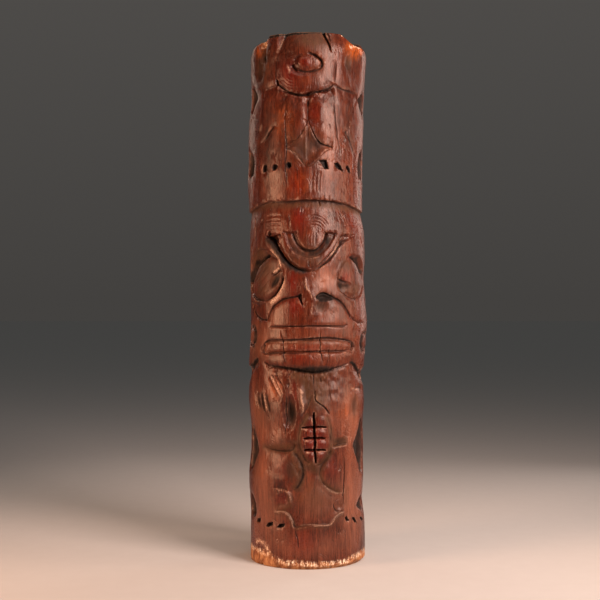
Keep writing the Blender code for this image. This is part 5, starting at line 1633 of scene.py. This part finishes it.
@dataclass
class TikiPost:
    """The whole post: the log's round, its carving, its mesh and its finish.

    Each end check has its place across and where it starts, as a share of the way out. A side has the
    log's radius at heights, in mm. The painted shade in a cavity or a hollow has its blur's reach, its
    full depth and its power, and an edge has its blur's reach, its slack and its full height, in mm.
    """

    height: float = 1.200
    radius: float = 0.1334
    front_half: float = 225.0
    front_step: float = 1.0
    back_step: float = 3.2
    height_step: float = 1.2
    kept_triangles: int = 190_000
    ring_shares: tuple[float, ...] = (0.985, 0.955, 0.91, 0.84, 0.75, 0.64, 0.52, 0.40, 0.28, 0.17, 0.08)
    end_check_depth: float = 0.004
    end_check_width: float = 2.6
    end_checks: tuple[Pair, ...] = ((-268, 0.3), (-172, 0.5), (-52, 0.2), (96, 0.4), (204, 0.1), (305, 0.3))
    end_share: float = 0.93
    end_slack: float = 0.006
    flat_slack: float = 0.0008
    cavity: tuple[float, float, float] = (3.0, 2.6, 1.5)
    hollow: tuple[float, float, float] = (11.0, 7.5, 1.4)
    edge: tuple[float, float, float] = (2.5, 0.2, 1.2)
    finish: StainedRedwood = StainedRedwood()
    left_side: tuple[Pair, ...] = (
        (0, 134), (50, 133), (95, 132.5), (140, 135.5), (200, 137), (250, 133), (310, 132.5), (370, 137),
        (450, 137), (510, 134.5), (560, 132.5), (680, 134.5), (770, 134.5), (830, 137.5), (890, 141),
        (950, 139), (1010, 136.5), (1070, 132.5), (1200, 132.5),
    )
    right_side: tuple[Pair, ...] = (
        (0, 135.5), (60, 135.5), (100, 133.5), (140, 129.5), (200, 131), (260, 133), (310, 131), (370, 133),
        (425, 130), (470, 134), (510, 138), (550, 140), (590, 137), (650, 132.5), (700, 135.5), (760, 133),
        (800, 129), (850, 129), (910, 131), (960, 131), (1040, 133), (1100, 134.5), (1160, 137.5),
        (1200, 137),
    )

    def relief(self) -> Relief:
        """Carves the pattern on a grid that is finer on the front than on the back.

        Returns:
            The relief, with its tints.
        """
        front = np.arange(-self.front_half, self.front_half, self.front_step)
        columns = round((HALF_ROUND - self.front_half) / self.back_step)
        back = np.linspace(self.front_half, HALF_ROUND, columns, endpoint=False)
        across = np.concatenate([back - self.front_half - HALF_ROUND, front, back])
        up = np.linspace(0.0, PATTERN_HEIGHT, round(PATTERN_HEIGHT / self.height_step))
        relief = Relief(across, up)
        for carving in (
            ToolMarks(), LogEnds(), CrestHead(), UpperBody(), NeckGroove(), ForeheadCrest(), Eyes(),
            Muzzle(), Mouth(), JawSides(), SideHollows(), ChestAndArms(), Lattice(), LegsAndFeet(),
            DryingChecks(),
        ):
            carving.carve(relief)
            log.info("carved %s", type(carving).__name__)
        Stains().lay(relief)
        return relief

    def surface(self, relief: Relief) -> tuple[np.ndarray, tuple[np.ndarray, np.ndarray]]:
        """Wraps the relief round the log, and closes both ends with rings that narrow to the middle.

        A place at angle a and height z stands at the log's radius there less the carving's depth. The log's
        radius is the mean of its left and right sides' plus half their difference times the sine of a.

        Args:
            relief: the carved pattern.

        Returns:
            The points, and the corners of the four-sided faces and of the three-sided ones.
        """
        left = np.interp(relief.up, *np.transpose(self.left_side))[:, None]
        right = np.interp(relief.up, *np.transpose(self.right_side))[:, None]
        angle = relief.across / PATTERN_RADIUS
        round_mm = 0.5 * (left + right) + 0.5 * (right - left) * np.sin(angle)[None, :]
        radius = self.radius / PATTERN_RADIUS * round_mm - relief.depth / MM_PER_METRE
        shares = np.array(self.ring_shares)[:, None]
        rings = np.vstack([radius[:1] * shares[::-1], radius, radius[-1:] * shares])
        foot, top = np.zeros(len(shares)), np.full(len(shares), self.height)
        heights = np.concatenate([foot, relief.up * self.height / PATTERN_HEIGHT, top])
        level = np.broadcast_to(heights[:, None], rings.shape).copy()
        for across, reach in self.end_checks:
            gap = np.abs(relief.across[None, :] - across) * shares
            share = np.clip(1.0 - gap / self.end_check_width, 0.0, 1.0)
            share = share * np.clip((shares - reach) / (1.0 - reach), 0.0, 1.0)
            level[-len(shares):] -= self.end_check_depth * share
        wall = np.stack([rings * np.sin(angle), -rings * np.cos(angle), level], axis=-1).reshape(-1, 3)
        rows, columns = rings.shape
        index = np.arange(rows * columns).reshape(rows, columns)
        beside = np.roll(index, -1, axis=1)
        quads = np.stack([index[:-1], beside[:-1], beside[1:], index[1:]], axis=-1).reshape(-1, 4)
        foot_fan = np.stack([beside[0], index[0], np.full(columns, rows * columns)], axis=-1)
        top_fan = np.stack([index[-1], beside[-1], np.full(columns, rows * columns + 1)], axis=-1)
        points = np.vstack([wall, (0.0, 0.0, 0.0), (0.0, 0.0, self.height)])
        return points, (quads, np.vstack([foot_fan, top_fan]))

    def mesh(self, relief: Relief) -> bpy.types.Mesh:
        """Makes the wrapped relief a mesh and joins its flat stretches into bigger triangles.

        Args:
            relief: the carved pattern.

        Returns:
            A closed mesh of fewer triangles, with the relief's tints on its points.
        """
        points, (quads, fans) = self.surface(relief)
        mesh = bpy.data.meshes.new(NODE)
        mesh.vertices.add(len(points))
        mesh.vertices.foreach_set("co", points.ravel())
        mesh.loops.add(quads.size + fans.size)
        mesh.loops.foreach_set("vertex_index", np.concatenate([quads.ravel(), fans.ravel()]))
        mesh.polygons.add(len(quads) + len(fans))
        starts = np.concatenate([np.arange(len(quads)) * 4, quads.size + np.arange(len(fans)) * 3])
        mesh.polygons.foreach_set("loop_start", starts)
        mesh.update(calc_edges=True)
        blank = bpy.data.objects.new("blank", mesh)
        bpy.context.scene.collection.objects.link(blank)
        thin = blank.modifiers.new("thin", "DECIMATE")
        thin.ratio = self.kept_triangles / (2 * len(quads) + len(fans))
        bpy.context.view_layer.update()
        kept = bpy.data.meshes.new_from_object(blank.evaluated_get(bpy.context.evaluated_depsgraph_get()))
        bpy.data.objects.remove(blank)
        bpy.data.meshes.remove(mesh)
        at = np.empty(len(kept.vertices) * 3)
        kept.vertices.foreach_get("co", at)
        kept.vertices.foreach_set("co", np.clip(at.reshape(-1, 3), *CAD_BOX).ravel())
        return kept

    def tint_points(self, mesh: bpy.types.Mesh, relief: Relief) -> None:
        """Reads the relief's tints at the mesh's points, weighing the rows and columns either side of each.

        Args:
            mesh: the thinned mesh.
            relief: the carved pattern.
        """
        at = np.empty(len(mesh.vertices) * 3)
        mesh.vertices.foreach_get("co", at)
        x, y, z = at.reshape(-1, 3).T
        across = np.arctan2(x, -y) * PATTERN_RADIUS
        up = np.clip(z * PATTERN_HEIGHT / self.height, relief.up[0], relief.up[-1])
        c = np.clip(np.searchsorted(relief.across, across) - 1, 0, len(relief.across) - 2)
        r = np.clip(np.searchsorted(relief.up, up) - 1, 0, len(relief.up) - 2)
        fx = np.clip((across - relief.across[c]) / (relief.across[c + 1] - relief.across[c]), 0.0, 1.0)
        fz = np.clip((up - relief.up[r]) / (relief.up[r + 1] - relief.up[r]), 0.0, 1.0)
        share = np.hypot(x, y) / self.radius
        on_end = ((z > self.height - self.end_slack) | (z < self.flat_slack)) & (share < self.end_share)
        sunk = (z < self.height - self.flat_slack).astype(float)
        flat = {"bare": (z < self.height / 2).astype(float), "end": 1.0, "check": sunk}
        for name, tint in relief.tints.items():
            low = tint[r, c] * (1 - fx) + tint[r, c + 1] * fx
            high = tint[r + 1, c] * (1 - fx) + tint[r + 1, c + 1] * fx
            value = np.where(on_end, flat.get(name, 0.0), low * (1 - fz) + high * fz)
            mesh.attributes.new(name, "FLOAT", "POINT").data.foreach_set("value", np.clip(value, 0.0, 1.0))

    def shade_cuts(self, relief: Relief) -> None:
        """Works out the painted shade in cuts and hollows, joined with the sooty tint, and where edges wear,
        from the depth less its blurred self.

        Args:
            relief: the carved pattern, which gets the tints "cavity", "hollow" and "edge".
        """
        narrow, wide = (
            np.clip((relief.depth - self.blurred(relief, reach)) / full, 0.0, 1.0) ** power
            for reach, full, power in (self.cavity, self.hollow)
        )
        reach, slack, full = self.edge
        raised = self.blurred(relief, reach) - relief.depth
        relief.tints["edge"] = np.clip((raised - slack) / full, 0.0, 1.0)
        relief.tints["hollow"] = wide
        relief.tints["cavity"] = np.maximum(narrow, relief.layer("soot_and_shade"))
        del relief.tints["soot_and_shade"]

    def blurred(self, relief: Relief, reach: float) -> np.ndarray:
        """Blurs the depth with three running means up the pattern and three across it.

        Args:
            relief: the carved pattern.
            reach: how far the blur spreads, in mm.

        Returns:
            The blurred depth.
        """
        depth = relief.depth
        for axis, step in ((0, relief.up[1] - relief.up[0]), (1, np.min(np.diff(relief.across)))):
            half = max(round(reach / step * 0.6), 1)
            margins = [(half + 1, half) if a == axis else (0, 0) for a in (0, 1)]
            for _ in range(3):
                sums = np.cumsum(np.pad(depth, margins, mode=("edge", "wrap")[axis]), axis=axis)
                high = np.take(sums, range(2 * half + 1, sums.shape[axis]), axis=axis)
                low = np.take(sums, range(0, sums.shape[axis] - 2 * half - 1), axis=axis)
                depth = (high - low) / (2 * half + 1)
        return depth

    def build(self) -> bpy.types.Object:
        """Carves, meshes and dresses the post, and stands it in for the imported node.

        Returns:
            The post.
        """
        relief = self.relief()
        self.shade_cuts(relief)
        mesh = self.mesh(relief)
        self.tint_points(mesh, relief)
        mesh.name = "carved_post"
        mesh.shade_smooth()
        mesh.materials.append(self.finish.material())
        post = bpy.data.objects.new("carved_post", mesh)
        bpy.context.scene.collection.objects.link(post)
        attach(post, "root")
        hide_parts(NODE)
        return post


@dataclass(frozen=True)
class PaleFloor:
    """A studio floor painted matt pale grey, which gives a soft shadow and no shine."""

    colour: str = "#bbbfc1"

    def material(self) -> bpy.types.Material:
        """Builds the paint, with a faint roller mottle about 40 mm across.

        Returns:
            The paint.
        """
        m = bpy.data.materials.new("pale_floor_paint")
        m.use_nodes = True
        tree = m.node_tree
        shader = tree.nodes["Principled BSDF"]
        mottle = add(tree, "TexNoise", add(tree, "TexCoord", out="Object"), 25.0, 3.0)
        shift = add(tree, "MapRange", mottle, 0.0, 1.0, 0.97, 1.03)
        paint = add(tree, "VectorMath", linear(self.colour)[:3], shift, operation="SCALE")
        tree.links.new(paint, shader.inputs["Base Color"])
        shader.inputs["Roughness"].default_value = 0.9
        shader.inputs["Specular IOR Level"].default_value = 0.0
        return m


@dataclass
class Studio:
    """The floor, the air round it, the lights and the camera."""

    camera_distance: float = 2.704
    camera_height: float = 0.601
    camera_across: float = -0.0172
    lens: float = 69.27
    sensor_width: float = 36.0
    floor_half: float = 30.0
    floor_gap: float = 0.0005
    horizon: float = 0.056
    overhead: float = 0.13
    lamp_spread: float = 120.0

    def floor(self) -> bpy.types.Object:
        """Lays a flat floor a little below the post's foot.

        Returns:
            The floor.
        """
        mesh = bpy.data.meshes.new("floor")
        h, down = self.floor_half, -self.floor_gap
        mesh.from_pydata([(-h, -h, down), (h, -h, down), (h, h, down), (-h, h, down)], [], [(0, 1, 2, 3)])
        mesh.materials.append(PaleFloor().material())
        floor = bpy.data.objects.new("floor", mesh)
        bpy.context.scene.collection.objects.link(floor)
        return floor

    def air(self) -> None:
        """Fills the room with soft light, as bright as the floor at the horizon and brighter overhead."""
        world = bpy.data.worlds.new("studio_air")
        world.use_nodes = True
        tree = world.node_tree
        rise = add(tree, "SeparateXYZ", add(tree, "TexCoord", out="Generated"), out="Z")
        strength = add(tree, "MapRange", rise, 0.0, 1.0, self.horizon, self.overhead)
        tree.links.new(strength, tree.nodes["Background"].inputs["Strength"])
        tree.nodes["Background"].inputs["Color"].default_value = (1.0, 0.94, 0.88, 1.0)
        bpy.context.scene.world = world

    def light(
        self, name: str, place: tuple[float, float, float], aim: float, size: Pair, power: float,
        colour: str
    ) -> None:
        """Hangs a soft box that faces the post.

        Args:
            name: the light's name.
            place: where its middle is, in metres.
            aim: the height on the post that it faces.
            size: its width and height, in metres.
            power: its power, in watts.
            colour: its sRGB colour.
        """
        data = bpy.data.lights.new(name, "AREA")
        data.shape = "RECTANGLE"
        data.size, data.size_y = size
        data.energy = power
        data.color = linear(colour)[:3]
        data.spread = math.radians(self.lamp_spread)
        lamp = bpy.data.objects.new(name, data)
        lamp.location = place
        x, y, z = place[0], place[1], place[2] - aim
        lamp.rotation_euler = (math.atan2(math.hypot(x, y), z), 0.0, math.atan2(x, -y))
        bpy.context.scene.collection.objects.link(lamp)

    def build(self) -> None:
        """Lays the floor, fills the air, hangs the lights and sets the camera."""
        self.floor()
        self.air()
        for lamp in (
            ("warm_left", (-1.6, -0.85, 0.60), 0.50, (0.6, 1.0), 18.0, "#ffbe94"),
            ("key", (1.3, -1.4, 1.40), 0.75, (0.9, 1.4), 43.0, "#ffdac8"),
            ("right_side", (1.6, -0.3, 0.66), 0.45, (0.4, 0.8), 6.0, "#ffccac"),
            ("overhead", (0.2, -1.2, 2.7), 0.6, (1.2, 0.8), 5.0, "#ffe6d4"),
            ("left_rim", (-1.3, 1.4, 1.5), 0.62, (0.2, 1.2), 2.0, "#ffe2cc"),
            ("right_rim", (1.35, 1.3, 1.1), 0.62, (0.35, 1.5), 4.2, "#ffe6d8"),
        ):
            self.light(*lamp)
        data = bpy.data.cameras.new("camera")
        data.lens = self.lens
        data.sensor_width = self.sensor_width
        camera = bpy.data.objects.new("camera", data)
        camera.location = (self.camera_across, -self.camera_distance, self.camera_height)
        camera.rotation_euler = (math.radians(90.0), 0.0, 0.0)
        bpy.context.scene.collection.objects.link(camera)
        bpy.context.scene.camera = camera
        bpy.context.scene.view_settings.view_transform = "Standard"


def main() -> None:
    """Builds the post and the studio, and reports each piece."""
    logging.basicConfig(level=logging.INFO, format="%(message)s")
    post = TikiPost().build()
    log.info("%s: %d triangles", post.name, sum(len(p.vertices) - 2 for p in post.data.polygons))
    Studio().build()


if __name__ == "__main__":
    main()
